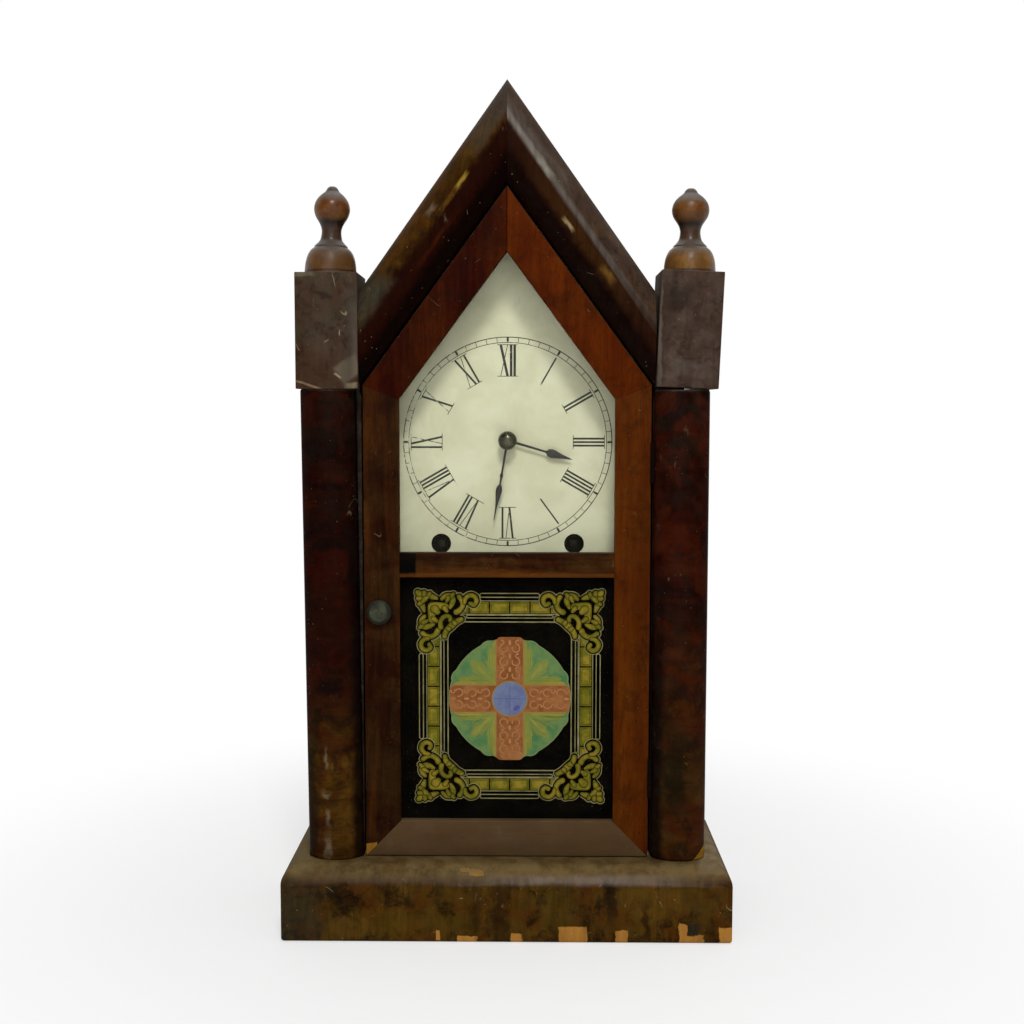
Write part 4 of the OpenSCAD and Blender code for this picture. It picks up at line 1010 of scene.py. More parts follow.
@dataclass
class Case:
    """The case: base, columns, gable mouldings, blocks, finials and the pine carcase.

    Attributes:
        edge: width of the rubbed edges.
        column_edge: width of the columns' rubbed edges.
        foot: width of the worn edge along the foot of the base.
        slope: angle of the gable's slopes from the vertical, in degrees.
    """

    edge: float = 0.0006
    column_edge: float = 0.002
    foot: float = 0.0026
    slope: float = 35.5

    BAND = (0.16, 0.3, 0.006)

    def base(self) -> None:
        """Dresses the base, whose bottom edge has lost pieces of its veneer."""
        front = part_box("base_front_moulding")
        left, right, face = front[0].x, front[1].x, front[0].y
        patches = (
            whole_patch(left + 0.008, 0.018, 0.014, 0.02, (0.022, 0.021, 0.012), 0.7, 0.03, 0.6),
            whole_patch(0.031, 0.021, 0.011, 0.014, (0.06, 0.036, 0.004), 0.5, 0.02, 0.45),
            whole_patch(-0.052, 0.012, 0.034, 0.007, (0.085, 0.046, 0.004), 0.5, 0.03, 0.45),
            whole_patch(-0.095, 0.008, 0.012, 0.006, (0.09, 0.046, 0.006), 0.6, 0.03, 0.7),
            whole_patch(-0.02, 0.03, 0.02, 0.006, (0.06, 0.03, 0.003), 0.6, 0.03, 0.6),
            whole_patch(0.095, 0.026, 0.028, 0.009, (0.09, 0.048, 0.006), 0.5, 0.03, 0.45),
            whole_patch(0.062, 0.027, 0.003, 0.013, (0.006, 0.003, 0.001), 0.6, 0.02, 0.8),
            whole_patch(0.083, 0.012, 0.003, 0.012, (0.01, 0.004, 0.001), 0.6, 0.02, 0.7),
            whole_patch(-0.005, 0.018, 0.006, 0.016, (0.012, 0.005, 0.001), 0.7, 0.03, 0.7),
            # Painted highlight: a pale violet-grey band along the top of the front's rounding, dimmer on the left.
            whole_patch(0.045, 0.0385, 0.05, 0.0024, (0.24, 0.2, 0.175), 0.95, 0.003, 0.5, y=face + 0.004, half_y=0.008),
            whole_patch(-0.07, 0.0385, 0.045, 0.0024, (0.08, 0.058, 0.04), 0.95, 0.004, 0.5, y=face + 0.004, half_y=0.008),
            whole_patch(right - 0.006, 0.047, 0.012, 0.0045, (0.34, 0.28, 0.2), 0.3, 0.004, 0.85, y=-0.006, half_y=0.042),
            whole_patch(left + 0.006, 0.047, 0.012, 0.0045, (0.13, 0.12, 0.085), 0.3, 0.004, 0.7, y=-0.006, half_y=0.042),
            Patch(-0.0405, 0.0047, 0.0012, 0.0034, ragged=0.003),
            Patch(-0.0235, 0.001, 0.0058, 0.0036),
            Patch(0.0063, 0.001, 0.0036, 0.0052),
            Patch(0.0395, 0.002, 0.0084, 0.0084, ragged=0.004),
            Patch(0.0685, 0.001, 0.0038, 0.007, ragged=0.006),
            Patch(0.1045, 0.006, 0.0024, 0.0062, ragged=0.006),
            Patch(0.1105, 0.001, 0.0074, 0.0044, ragged=0.006),
            whole_patch(0.1105, 0.0092, 0.0036, 0.0034, (0.016, 0.014, 0.008), 0.1, 0.005, 0.95),
            Patch(right - 0.002, 0.001, 0.0052, 0.009, ragged=0.006, y=face + 0.002, half_y=0.013),
            Patch(-0.0247, 0.0431, 0.0028, 0.0009, ragged=0.003, y=face + 0.0042, half_y=0.0016),
            Patch(-0.0178, 0.042, 0.0046, 0.0016, ragged=0.003, y=face + 0.0032, half_y=0.0026),
        )
        veneer = Veneer(
            "base_veneer", (0.006, 0.0022, 0.0006), (0.026, 0.0105, 0.0012), (0.07, 0.032, 0.003), pace=42.0,
            worn=(0.07, 0.035, 0.004), worn_share=0.35, stained=0.8, dust=0.85, film=0.04,
            dust_colour=(0.135, 0.092, 0.036), scuffs=1.0, gloss=0.42, blotch=38.0, streaky=0.3,
            tint=(0.055, 0.017, 0.0015), tinted=0.7, scratch=(0.24, 0.2, 0.12), patches=patches,
        )
        for node in ("base_front_moulding", "base_left_moulding", "base_right_moulding"):
            rubbed(node, "case", veneer, self.edge, self.foot)

    def columns(self) -> None:
        """Dresses the half-round columns, rubbed yellow-brown towards their feet, with painted shade along their edges.
        """
        low, high = (corner.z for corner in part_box("column_left"))
        inner_left, (inner_right, outer_right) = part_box("column_left")[1].x, (c.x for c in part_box("column_right"))
        dark, pale = (0.002, 0.0006, 0.0003), (0.17, 0.13, 0.08)
        shared = {"along": Along.WIDTH, "pace": 38.0, "tinted": 0.5, "gloss": 0.3}
        left = Veneer(
            "left_column_veneer", (0.004, 0.0007, 0.0003), (0.012, 0.0016, 0.0004), (0.022, 0.004, 0.0008),
            tint=(0.026, 0.002, 0.0003), worn=(0.07, 0.03, 0.003), worn_share=0.45,
            worn_heights=(low + 0.06, low + 0.14), stained=0.7, film=0.01, scuffs=0.55, **shared,
            patches=(
                # Painted shade: near black along the inner edge, beside the door.
                whole_patch(inner_left + 0.001, (low + high) / 2, 0.0065, 0.2, dark, 0.45, 0.005, 0.9),
                whole_patch(-0.1075, low + 0.008, 0.0016, 0.0055, pale, 0.9, 0.008, 0.5),
                whole_patch(-0.1072, low + 0.026, 0.0011, 0.004, pale, 0.9, 0.008, 0.45),
                whole_patch(-0.1078, low + 0.0395, 0.0018, 0.0018, pale, 0.8, 0.01, 0.5),
                whole_patch(-0.1082, low + 0.062, 0.0009, 0.005, pale, 0.8, 0.008, 0.5),
                # Painted shade: a darker strip along the outer edge near the foot.
                whole_patch(-0.118, low + 0.02, 0.004, 0.06, (0.006, 0.004, 0.001), 0.6, 0.01, 0.7),
                whole_patch(-0.105, low + 0.105, 0.008, 0.0045, dark, 0.6, 0.02, 0.8),
            ),
        )
        right = Veneer(
            "right_column_veneer", (0.006, 0.0008, 0.0003), (0.018, 0.002, 0.0004), (0.03, 0.005, 0.0009),
            tint=(0.042, 0.005, 0.0004), worn=(0.045, 0.022, 0.003), worn_share=0.5,
            worn_heights=(low + 0.06, low + 0.19), stained=0.75, film=0.02, scuffs=0.45, **shared,
            patches=(
                # Painted shade: near black along the lower inner edge, beside the door.
                whole_patch(inner_right + 0.001, low + 0.06, 0.005, 0.09, dark, 0.5, 0.005, 0.9),
                Patch(outer_right - 0.0004, low + 0.0004, 0.0072, 0.0056, (0.26, 0.13, 0.012), ragged=0.003, turn=47.0),
                whole_patch(0.101, low + 0.055, 0.006, 0.022, (0.006, 0.005, 0.001), 0.6, 0.02, 0.8),
            ),
        )
        rubbed("column_left", "case", left, self.column_edge)
        rubbed("column_right", "case", right, self.column_edge)

    def gable(self) -> None:
        """Dresses the gable mouldings: paler outside the crest of their face, with dust and a painted grey sheen, a
        painted highlight along the crest, and painted shade inside it, nearly black.
        """
        orange = (0.085, 0.036, 0.005)
        shared = {"pace": 60.0, "blotch": 34.0, "gloss": 0.28}
        left = Veneer(
            "left_gable_veneer", (0.012, 0.0015, 0.0003), (0.03, 0.0065, 0.0006), (0.06, 0.022, 0.0022),
            worn=(0.06, 0.026, 0.003), worn_share=0.4, stained=0.8, tint=(0.014, 0.005, 0.001), tinted=0.75,
            dust=0.25, film=0.006, dust_colour=(0.08, 0.042, 0.015), scuffs=0.9, **shared,
            patches=self.bands(
                -1,
                # Grey of dust and a painted sheen on the outer side, near the tip.
                (0.02, 0.0055, 0.0065, (0.036, 0.031, 0.026), 0.85, 0.024),
                (0.115, 0.0045, 0.0055, (0.075, 0.03, 0.004), 0.45, 0.03, 0.8, 0.02),
                (0.045, 0.0065, 0.0065, (0.07, 0.034, 0.004), 0.4, 0.022, 0.8, 0.02),
                # Painted shade inside the crest: dark red, then near black at the inner edge.
                (0.09, 0.0225, 0.0085, (0.011, 0.0012, 0.0002), 0.95),
                (0.09, 0.035, 0.01, (0.0025, 0.0004, 0.0001), 0.95),
                # Painted highlights along the crest, pale and orange.
                (0.0645, 0.0135, 0.001, (0.26, 0.16, 0.02), 0.9, 0.0045, 0.7, 0.002),
                (0.077, 0.0135, 0.0013, orange, 0.8, 0.007, 0.8, 0.003),
                (0.088, 0.0085, 0.0014, (0.2, 0.16, 0.1), 0.4, 0.003, 0.9, 0.003),
                # Grey of dust and a painted sheen on the outer side, lower down.
                (0.15, 0.006, 0.008, (0.036, 0.034, 0.022), 0.8, 0.014, 0.5),
                (0.101, 0.0215, 0.001, (0.05, 0.008, 0.001), 0.5, 0.014, 0.9, 0.002),
            ),
        )
        right = Veneer(
            "right_gable_veneer", (0.02, 0.009, 0.004), (0.042, 0.024, 0.013), (0.062, 0.042, 0.03),
            worn=(0.06, 0.034, 0.016), worn_share=0.3, stained=0.5, tint=(0.034, 0.017, 0.013), tinted=0.6,
            dust=0.4, film=0.02, dust_colour=(0.085, 0.062, 0.046), scuffs=0.8, **shared,
            patches=self.bands(
                1,
                # Painted shade inside the crest, darkest at the inner edge, with some orange wood in it.
                (0.09, 0.0195, 0.0075, (0.013, 0.0024, 0.0003), 0.95),
                (0.1, 0.0185, 0.004, orange, 0.2, 0.04, 0.9, 0.014),
                (0.09, 0.0335, 0.0105, (0.004, 0.0007, 0.0002), 0.95),
                # Painted highlights along the crest, and the grey of dust and a painted sheen just outside it.
                (0.075, 0.0128, 0.0016, (0.12, 0.105, 0.09), 0.6, 0.06, 0.9, 0.0012),
                (0.032, 0.0122, 0.0013, (0.28, 0.25, 0.21), 0.6, 0.018, 0.95, 0.0015),
                (0.034, 0.0095, 0.0036, (0.09, 0.074, 0.062), 0.6, 0.03, 0.9, 0.003),
                (0.056, 0.0125, 0.0016, (0.26, 0.25, 0.19), 0.5, 0.005, 0.9, 0.003),
                (0.09, 0.0205, 0.0009, (0.3, 0.22, 0.1), 0.8, 0.0035, 0.8, 0.003),
                (0.126, 0.0185, 0.0016, (0.17, 0.085, 0.014), 0.6, 0.004, 0.9, 0.004),
            ),
        )
        rubbed("gable_moulding_left", "case", left)
        rubbed("gable_moulding_right", "case", right)

    def bands(self, side: int, *rows: tuple[Union[float, Colour], ...]) -> tuple[Patch, ...]:
        """Returns patches that lie along a gable moulding.

        Args:
            side: -1 for the left moulding, 1 for the right one.
            *rows: each one's middle, down the slope from the tip of the gable; its middle, from the
                moulding's outer edge inwards; half of its width; its colour; how much of it shows; and,
                or else as in BAND, half of its length, the share of its width that fades out, and how
                far its border strays.

        Returns:
            The patches, in that order.
        """
        lean = math.radians(self.slope)
        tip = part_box("gable_moulding_left")[1].z
        made = []
        for down, across, half, colour, share, *more in rows:
            reach, soft, ragged = (*more, *self.BAND[len(more):])
            x = side * (down * math.sin(lean) - across * math.cos(lean))
            z = tip - down * math.cos(lean) - across * math.sin(lean)
            made.append(whole_patch(x, z, reach, half, colour, soft, ragged, share, turn=-side * (90.0 - self.slope)))
        return tuple(made)

    def blocks(self) -> None:
        """Dresses the blocks."""
        low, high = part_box("block_left")
        pale, tan = (0.115, 0.09, 0.06), (0.21, 0.14, 0.075)
        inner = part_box("block_right")[0].x
        shared = {
            "pace": 26.0, "worn_share": 0.4, "film": 0.06, "dust": 0.7, "gloss": 0.5, "blotch": 46.0,
            "streaky": 0.12, "sheen": 0.04, "tinted": 0.5,
        }
        left = Veneer(
            "left_block_veneer", (0.024, 0.012, 0.006), (0.037, 0.0185, 0.0095), (0.048, 0.029, 0.019),
            worn=(0.062, 0.04, 0.024), stained=0.55, dust_colour=(0.075, 0.056, 0.044), scuffs=1.0,
            tint=(0.034, 0.028, 0.014), **shared,
            patches=(
                whole_patch(low.x + 0.012, low.z + 0.01, 0.014, 0.012, (0.042, 0.012, 0.005), 0.9, 0.02, 0.5),
                whole_patch(high.x - 0.005, low.z + 0.0115, 0.0072, 0.0056, pale, 0.25, 0.006, 0.85, turn=32.0),
                whole_patch(high.x - 0.0115, low.z + 0.0075, 0.0019, 0.0006, (0.3, 0.23, 0.13), 0.6, 0.002, 0.9, turn=-35.0),
                whole_patch(high.x - 0.002, low.z + 0.034, 0.0034, 0.019, (0.08, 0.064, 0.05), 0.9, 0.012, 0.6),
                whole_patch(high.x - 0.0105, low.z + 0.0325, 0.0003, 0.0014, (0.26, 0.2, 0.17), 0.7, 0.003, 0.8),
                whole_patch(high.x - 0.018, low.z + 0.028, 0.0013, 0.0004, (0.2, 0.13, 0.09), 0.7, 0.003, 0.8, turn=20.0),
                whole_patch(low.x + 0.0075, low.z + 0.0024, 0.0075, 0.0006, tan, 0.4, 0.0015, 0.85, turn=-18.0),
                whole_patch(high.x - 0.004, low.z + 0.0018, 0.0032, 0.0014, (0.2, 0.16, 0.09), 0.5, 0.004, 0.85),
                whole_patch(low.x + 0.006, high.z - 0.001, 0.005, 0.0014, (0.12, 0.1, 0.06), 0.5, 0.004, 0.8),
                whole_patch(high.x - 0.0135, high.z - 0.0045, 0.0003, 0.0036, (0.15, 0.11, 0.07), 0.6, 0.003, 0.8, turn=12.0),
            ),
        )
        right = Veneer(
            "right_block_veneer", (0.03, 0.015, 0.008), (0.044, 0.0235, 0.015), (0.056, 0.034, 0.025),
            worn=(0.07, 0.046, 0.034), stained=0.5, dust_colour=(0.085, 0.065, 0.055), scuffs=0.8,
            tint=(0.03, 0.017, 0.011), **shared,
            patches=(
                whole_patch(inner + 0.002, low.z + 0.03, 0.0012, 0.03, (0.13, 0.105, 0.08), 0.5, 0.004, 0.6),
                whole_patch(inner + 0.013, low.z + 0.052, 0.007, 0.007, (0.014, 0.008, 0.005), 0.7, 0.01, 0.7),
                whole_patch(inner + 0.02, low.z + 0.012, 0.01, 0.004, (0.085, 0.065, 0.05), 0.8, 0.02, 0.6),
            ),
        )
        rubbed("block_left", "case", left, self.edge)
        rubbed("block_right", "case", right, self.edge)

    def finials(self) -> None:
        """Dresses the turned finials on the blocks."""
        woods = {
            "finial_left": ((0.125, 0.047, 0.006), (0.12, 0.053, 0.013)),
            "finial_right": ((0.13, 0.049, 0.006), (0.17, 0.075, 0.013)),
        }
        for node, (wood, foot) in woods.items():
            low, high = (corner.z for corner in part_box(node))
            tall = high - low
            turned = Turned(
                f"{node}_wood", wood, foot, dark=(0.024, 0.014, 0.01), neck=low + 0.46 * tall, reach=0.17 * tall,
                tip=low + 0.86 * tall, groove=low + 0.035 * tall,
            )
            rubbed(node, "case", turned)

    def carcase(self) -> None:
        """Dresses the pine boards behind the veneer."""
        upright = RawPine("pine_upright", (0.34, 0.2, 0.085), (0.19, 0.1, 0.04))
        across = RawPine("pine_across", (0.3, 0.18, 0.08), (0.17, 0.09, 0.035), Along.WIDTH)
        roof = RawPine("pine_roof", (0.15, 0.085, 0.04), (0.08, 0.042, 0.018), Along.WIDTH)
        stained = RawPine("stained_pine", (0.012, 0.005, 0.002), (0.006, 0.002, 0.001))
        nodes = {
            "floor_board": across, "back_board": upright, "side_board_left": upright, "side_board_right": upright,
            "roof_board_left": roof, "roof_board_right": roof, "front_frame_left": stained,
            "front_frame_right": stained, "dial_cleats": upright,
        }
        for node, finish in nodes.items():
            rubbed(node, "case", finish, 0.0004)


@dataclass
class Door:
    """The glazed door: its veneered frame, panes, putty, hinges and turn knob.

    Attributes:
        edge: width of the rubbed edges.
        putty: width of the putty bead behind each pane.
    """

    edge: float = 0.0004
    putty: float = 0.0032

    def frame(self) -> None:
        """Dresses the members of the door, each with its own colours, the stile and rafter on the right lighter than
        those on the left.
        """
        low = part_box("door_stile_left")[0]
        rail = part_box("door_middle_rail")[0]
        corner = (Patch(low.x + 0.0025, low.z + 0.003, 0.0042, 0.0052, (0.24, 0.11, 0.012), ragged=0.006),)
        # Near black at the left end of the middle rail and along its top, orange-brown along its foot.
        black = (
            whole_patch(rail.x + 0.003, rail.z, 0.0068, 0.03, (0.0012, 0.001, 0.0006), 0.12, 0.002),
            whole_patch(0.0, rail.z + 0.0006, 0.2, 0.0018, (0.1, 0.032, 0.005), 0.5, 0.002, 0.6),
            whole_patch(-0.01, rail.z + 0.0135, 0.05, 0.0025, (0.006, 0.002, 0.001), 0.6, 0.006, 0.7),
        )
        red = {"dust": 0.3, "film": 0.004, "scuffs": 0.4, "gloss": 0.28, "stained": 0.4, "blotch": 26.0}
        dull = {
            "dust": 0.7, "film": 0.06, "scuffs": 0.3, "gloss": 0.5, "stained": 0.1, "streaky": 0.08, "pace": 26.0,
            "dust_colour": (0.1, 0.068, 0.036),
        }
        members = {
            "door_stile_left": Veneer(
                "left_stile_veneer", (0.009, 0.0016, 0.0003), (0.024, 0.005, 0.0005), (0.042, 0.0105, 0.0009),
                worn_share=0.12, patches=corner, **red
            ),
            "door_stile_right": Veneer(
                "right_stile_veneer", (0.048, 0.009, 0.0004), (0.066, 0.0135, 0.0006), (0.084, 0.02, 0.001),
                worn=(0.095, 0.03, 0.003), worn_share=0.12, **red
            ),
            "door_gable_left": Veneer(
                "left_rafter_veneer", (0.014, 0.0008, 0.0002), (0.028, 0.0028, 0.0003), (0.042, 0.0062, 0.0005),
                worn=(0.06, 0.016, 0.002), worn_share=0.15, **red
            ),
            "door_gable_right": Veneer(
                "right_rafter_veneer", (0.054, 0.0075, 0.0003), (0.07, 0.0115, 0.0004), (0.082, 0.0145, 0.0006),
                worn=(0.1, 0.024, 0.002), worn_share=0.12, **red
            ),
            "door_middle_rail": Veneer(
                "middle_rail_veneer", (0.014, 0.002, 0.0005), (0.036, 0.0075, 0.0006), (0.07, 0.02, 0.002),
                Along.WIDTH, worn_share=0.2, patches=black, **red
            ),
            "door_bottom_rail": Veneer(
                "bottom_rail_veneer", (0.054, 0.028, 0.011), (0.064, 0.035, 0.015), (0.076, 0.045, 0.021),
                Along.WIDTH, worn=(0.08, 0.052, 0.026), worn_share=0.25, **dull
            ),
        }
        for node, veneer in members.items():
            rubbed(node, "door", veneer, self.edge)

    def panes(self) -> None:
        """Dresses the two panes."""
        clear = WindowGlass("window_glass", (0.42, 0.42, 0.28), 0.007)
        smoky = WindowGlass("tablet_window_glass", (0.12, 0.12, 0.08), 0.006)
        rubbed("dial_glass", "door", clear)
        rubbed("tablet_glass", "door", smoky)

    def beads(self) -> None:
        """Beds each pane in a sloping bead of putty, behind it in the rebate."""
        putty = Paint(
            "old_putty", (0.42, 0.37, 0.27), (0.25, 0.2, 0.13), (0.2, 0.15, 0.1), size=80.0, rough=0.8
        )
        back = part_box("door_stile_left")[1].y - 0.0003
        for pane, name in (("dial_glass", "dial_putty"), ("tablet_glass", "tablet_putty")):
            bm = merged(pane, 1.0)
            bmesh.ops.delete(bm, geom=[f for f in bm.faces if f.normal.y < 0.9], context="FACES")
            outline = {seen(v) for v in bm.verts}
            middle = bm.faces[:]
            bmesh.ops.inset_region(bm, faces=middle, thickness=self.putty, use_boundary=True, use_even_offset=True)
            bmesh.ops.delete(bm, geom=middle, context="FACES")
            raised = bmesh.ops.extrude_face_region(bm, geom=bm.faces[:])
            for item in raised["geom"]:
                if isinstance(item, bmesh.types.BMVert) and seen(item) in outline:
                    item.co.y = back
            bmesh.ops.remove_doubles(bm, verts=bm.verts, dist=WELD)
            bmesh.ops.recalc_face_normals(bm, faces=bm.faces)
            finished(name, bm, [putty], "door")

    def fittings(self) -> None:
        """Dresses the hinges, the turn knob and the latch."""
        # The hinges are painted near black with little sheen: painted shade of the gap between the door and the case,
        # where they sit.
        brass = OldMetal(
            "dark_brass", (0.006, 0.0025, 0.001), (0.003, 0.0015, 0.001), 0.75, 0.85, metallic=0.0, sheen=0.04
        )
        knob = OldMetal(
            "tarnished_nickel", (0.05, 0.055, 0.032), (0.014, 0.016, 0.009), 0.55, 0.4, size=140.0
        )
        rubbed("hinge_door_leaves", "door", brass)
        rubbed("hinge_case_leaves", "case", brass)
        rubbed("door_knob", "knob", knob, 0.0003)
        rubbed("latch_tongue", "knob", knob, 0.0002)


def seen(vert: bmesh.types.BMVert) -> tuple[int, int]:
    """Returns where a vertex stands as seen from the front, in whole hundredths of a millimetre."""
    return round(vert.co.x * 1e5), round(vert.co.z * 1e5)


@dataclass
class Dial:
    """The painted dial with its minute track and Roman figures, and the hands.

    Attributes:
        drop: distance from the hands' arbor down to the middle of the painted ring, which is a little off.
        ring: radius of the outer line of the minute track.
        track: width of the minute track.
        top: radius of the outer ends of the figures.
        foot: radius of the inner ends of the figures.
        thick: width of a thick stroke.
        thin: width of a thin stroke.
        gap: distance between the strokes of neighbouring letters.
    """

    drop: float = 0.0011
    ring: float = 0.0642
    track: float = 0.0033
    top: float = 0.0593
    foot: float = 0.0402
    thick: float = 0.0012
    thin: float = 0.00036
    gap: float = 0.00215

    FIGURES = ("XII", "I", "II", "III", "IIII", "V", "VI", "VII", "VIII", "IX", "X", "XI")
    WEIGHTS = {0: 1.3, 1: 0.8, 5: 0.75}
    WIDTHS = {"I": 0.0, "V": 0.0042, "X": 0.0042}
    STROKES = {"I": ((0.0, 0.0, 0),), "V": ((0.0, 0.5, 0), (1.0, 0.5, 1)), "X": ((0.0, 1.0, 0), (1.0, 0.0, 1))}

    def __post_init__(self) -> None:
        """Finds the dial's middle and face, and mixes its paints."""
        low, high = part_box("hand_nut")
        self.middle = ((low.x + high.x) / 2, (low.z + high.z) / 2 - self.drop)
        self.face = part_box("dial_plate")[0].y
        dark, mid = (0.02, 0.022, 0.017), (0.045, 0.046, 0.034)
        self.paint = Paint(
            "dial_paint", (0.6, 0.605, 0.415), (0.49, 0.485, 0.31), (0.36, 0.33, 0.2), 0.35, size=30.0, lines=0.3
        )
        self.inks = (
            Paint("dial_ink", dark, mid, (0.45, 0.45, 0.3), 0.6, 0.34, 120.0),
            Paint("faint_ink", mid, (0.09, 0.09, 0.065), (0.48, 0.48, 0.33), 0.6, 0.42, 120.0, loss_left=0.3),
        )

    def spot(self, radius: float, angle: float, side: float = 0.0) -> Spot:
        """Finds a place on the dial.

        Args:
            radius: its distance from the middle.
            angle: its clockwise angle from twelve.
            side: how far it is moved sideways to the right.

        Returns:
            The place.
        """
        x = radius * math.sin(angle) + side * math.cos(angle)
        z = radius * math.cos(angle) - side * math.sin(angle)
        return self.middle[0] + x, self.middle[1] + z

    def figure(self, work: FlatWork, letters: str, angle: float, weight: float) -> None:
        """Paints one figure, its top towards the rim.

        Args:
            work: the sheet to paint on.
            letters: the figure's letters.
            angle: its clockwise angle from twelve.
            weight: share of the full width of its thick strokes; below 1, its thin strokes are worn away.
        """
        half = (sum(self.WIDTHS[letter] for letter in letters) + self.gap * (len(letters) - 1)) / 2
        if weight >= 1.0:
            for radius in (self.top, self.foot):
                reach = half + 0.95 * self.gap
                work.stroke(self.spot(radius, angle, -reach), self.spot(radius, angle, reach), self.thin * 1.3, 1)
        side = -half
        for letter in letters:
            width = self.WIDTHS[letter]
            for above, below, thin in self.STROKES[letter]:
                if not thin or weight >= 1.0:
                    start = self.spot(self.top, angle, side + above * width)
                    end = self.spot(self.foot, angle, side + below * width)
                    work.stroke(start, end, self.thin * 1.4 if thin else self.thick * weight, thin)
            side += width + self.gap

    def painting(self) -> None:
        """Paints the minute track and the figures."""
        rubbed("dial_plate", "case", self.paint)
        track, inside = FlatWork(self.face), self.ring - self.track
        for radius, width in ((self.ring, 0.0006), (inside, 0.00045)):
            track.arc(self.middle, radius - width / 2, width, 0.0, FULL_TURN, 1, 144)
        for minute in range(60):
            angle = minute * FULL_TURN / 60
            track.stroke(self.spot(inside, angle), self.spot(self.ring, angle), 0.0004, 1)
            if minute % 5 == 0:
                track.stroke(self.spot(inside + 0.0003, angle), self.spot(self.ring - 0.0004, angle), 0.0013)
        finished("dial_minute_track", track.bm, self.inks, "case")
        figures = FlatWork(self.face)
        for hour, letters in enumerate(self.FIGURES):
            self.figure(figures, letters, hour * FULL_TURN / 12, self.WEIGHTS.get(hour, 1.0))
        finished("dial_figures", figures.bm, self.inks, "case")

    def hands(self) -> None:
        """Dresses the hands and the round nut that holds them."""
        blued = OldMetal(
            "blackened_steel", (0.06, 0.06, 0.05), (0.04, 0.038, 0.036), 0.55, 0.4, 160.0
        )
        nut = OldMetal(
            "dull_iron_nut", (0.1, 0.095, 0.06), (0.05, 0.048, 0.028), 0.45, 0.12, 240.0
        )
        rubbed("hour_hand", "hour", blued, 0.0002)
        rubbed("minute_hand", "minute", blued, 0.0002)
        rubbed("hand_nut", "minute", nut)


@dataclass(frozen=True)
class Scroll:
    """A scroll, leaf or knob of a corner cluster, in millimetres inwards from the corner.

    Attributes:
        line: places along its middle line, each with its width: (along X, along Z, width).
        twin: whether its mirror image across the corner's diagonal is there too.
    """

    line: tuple[Triple, ...]
    twin: bool = True

    def smooth(self, parts: int = 4) -> list[Triple]:
        """Smooths the middle line.

        Args:
            parts: how many parts lie between each two of its places.

        Returns:
            The finer line.
        """
        ends = (self.line[0], *self.line, self.line[-1])
        made = []
        for places in zip(ends, ends[1:], ends[2:], ends[3:]):
            for t in (part / parts for part in range(parts)):
                made.append(tuple(
                    0.5 * (2 * q + (r - p) * t + (2 * p - 5 * q + 4 * r - s) * t * t + (3 * q - p - 3 * r + s) * t**3)
                    for p, q, r, s in zip(*places)
                ))
        return [*made, self.line[-1]]


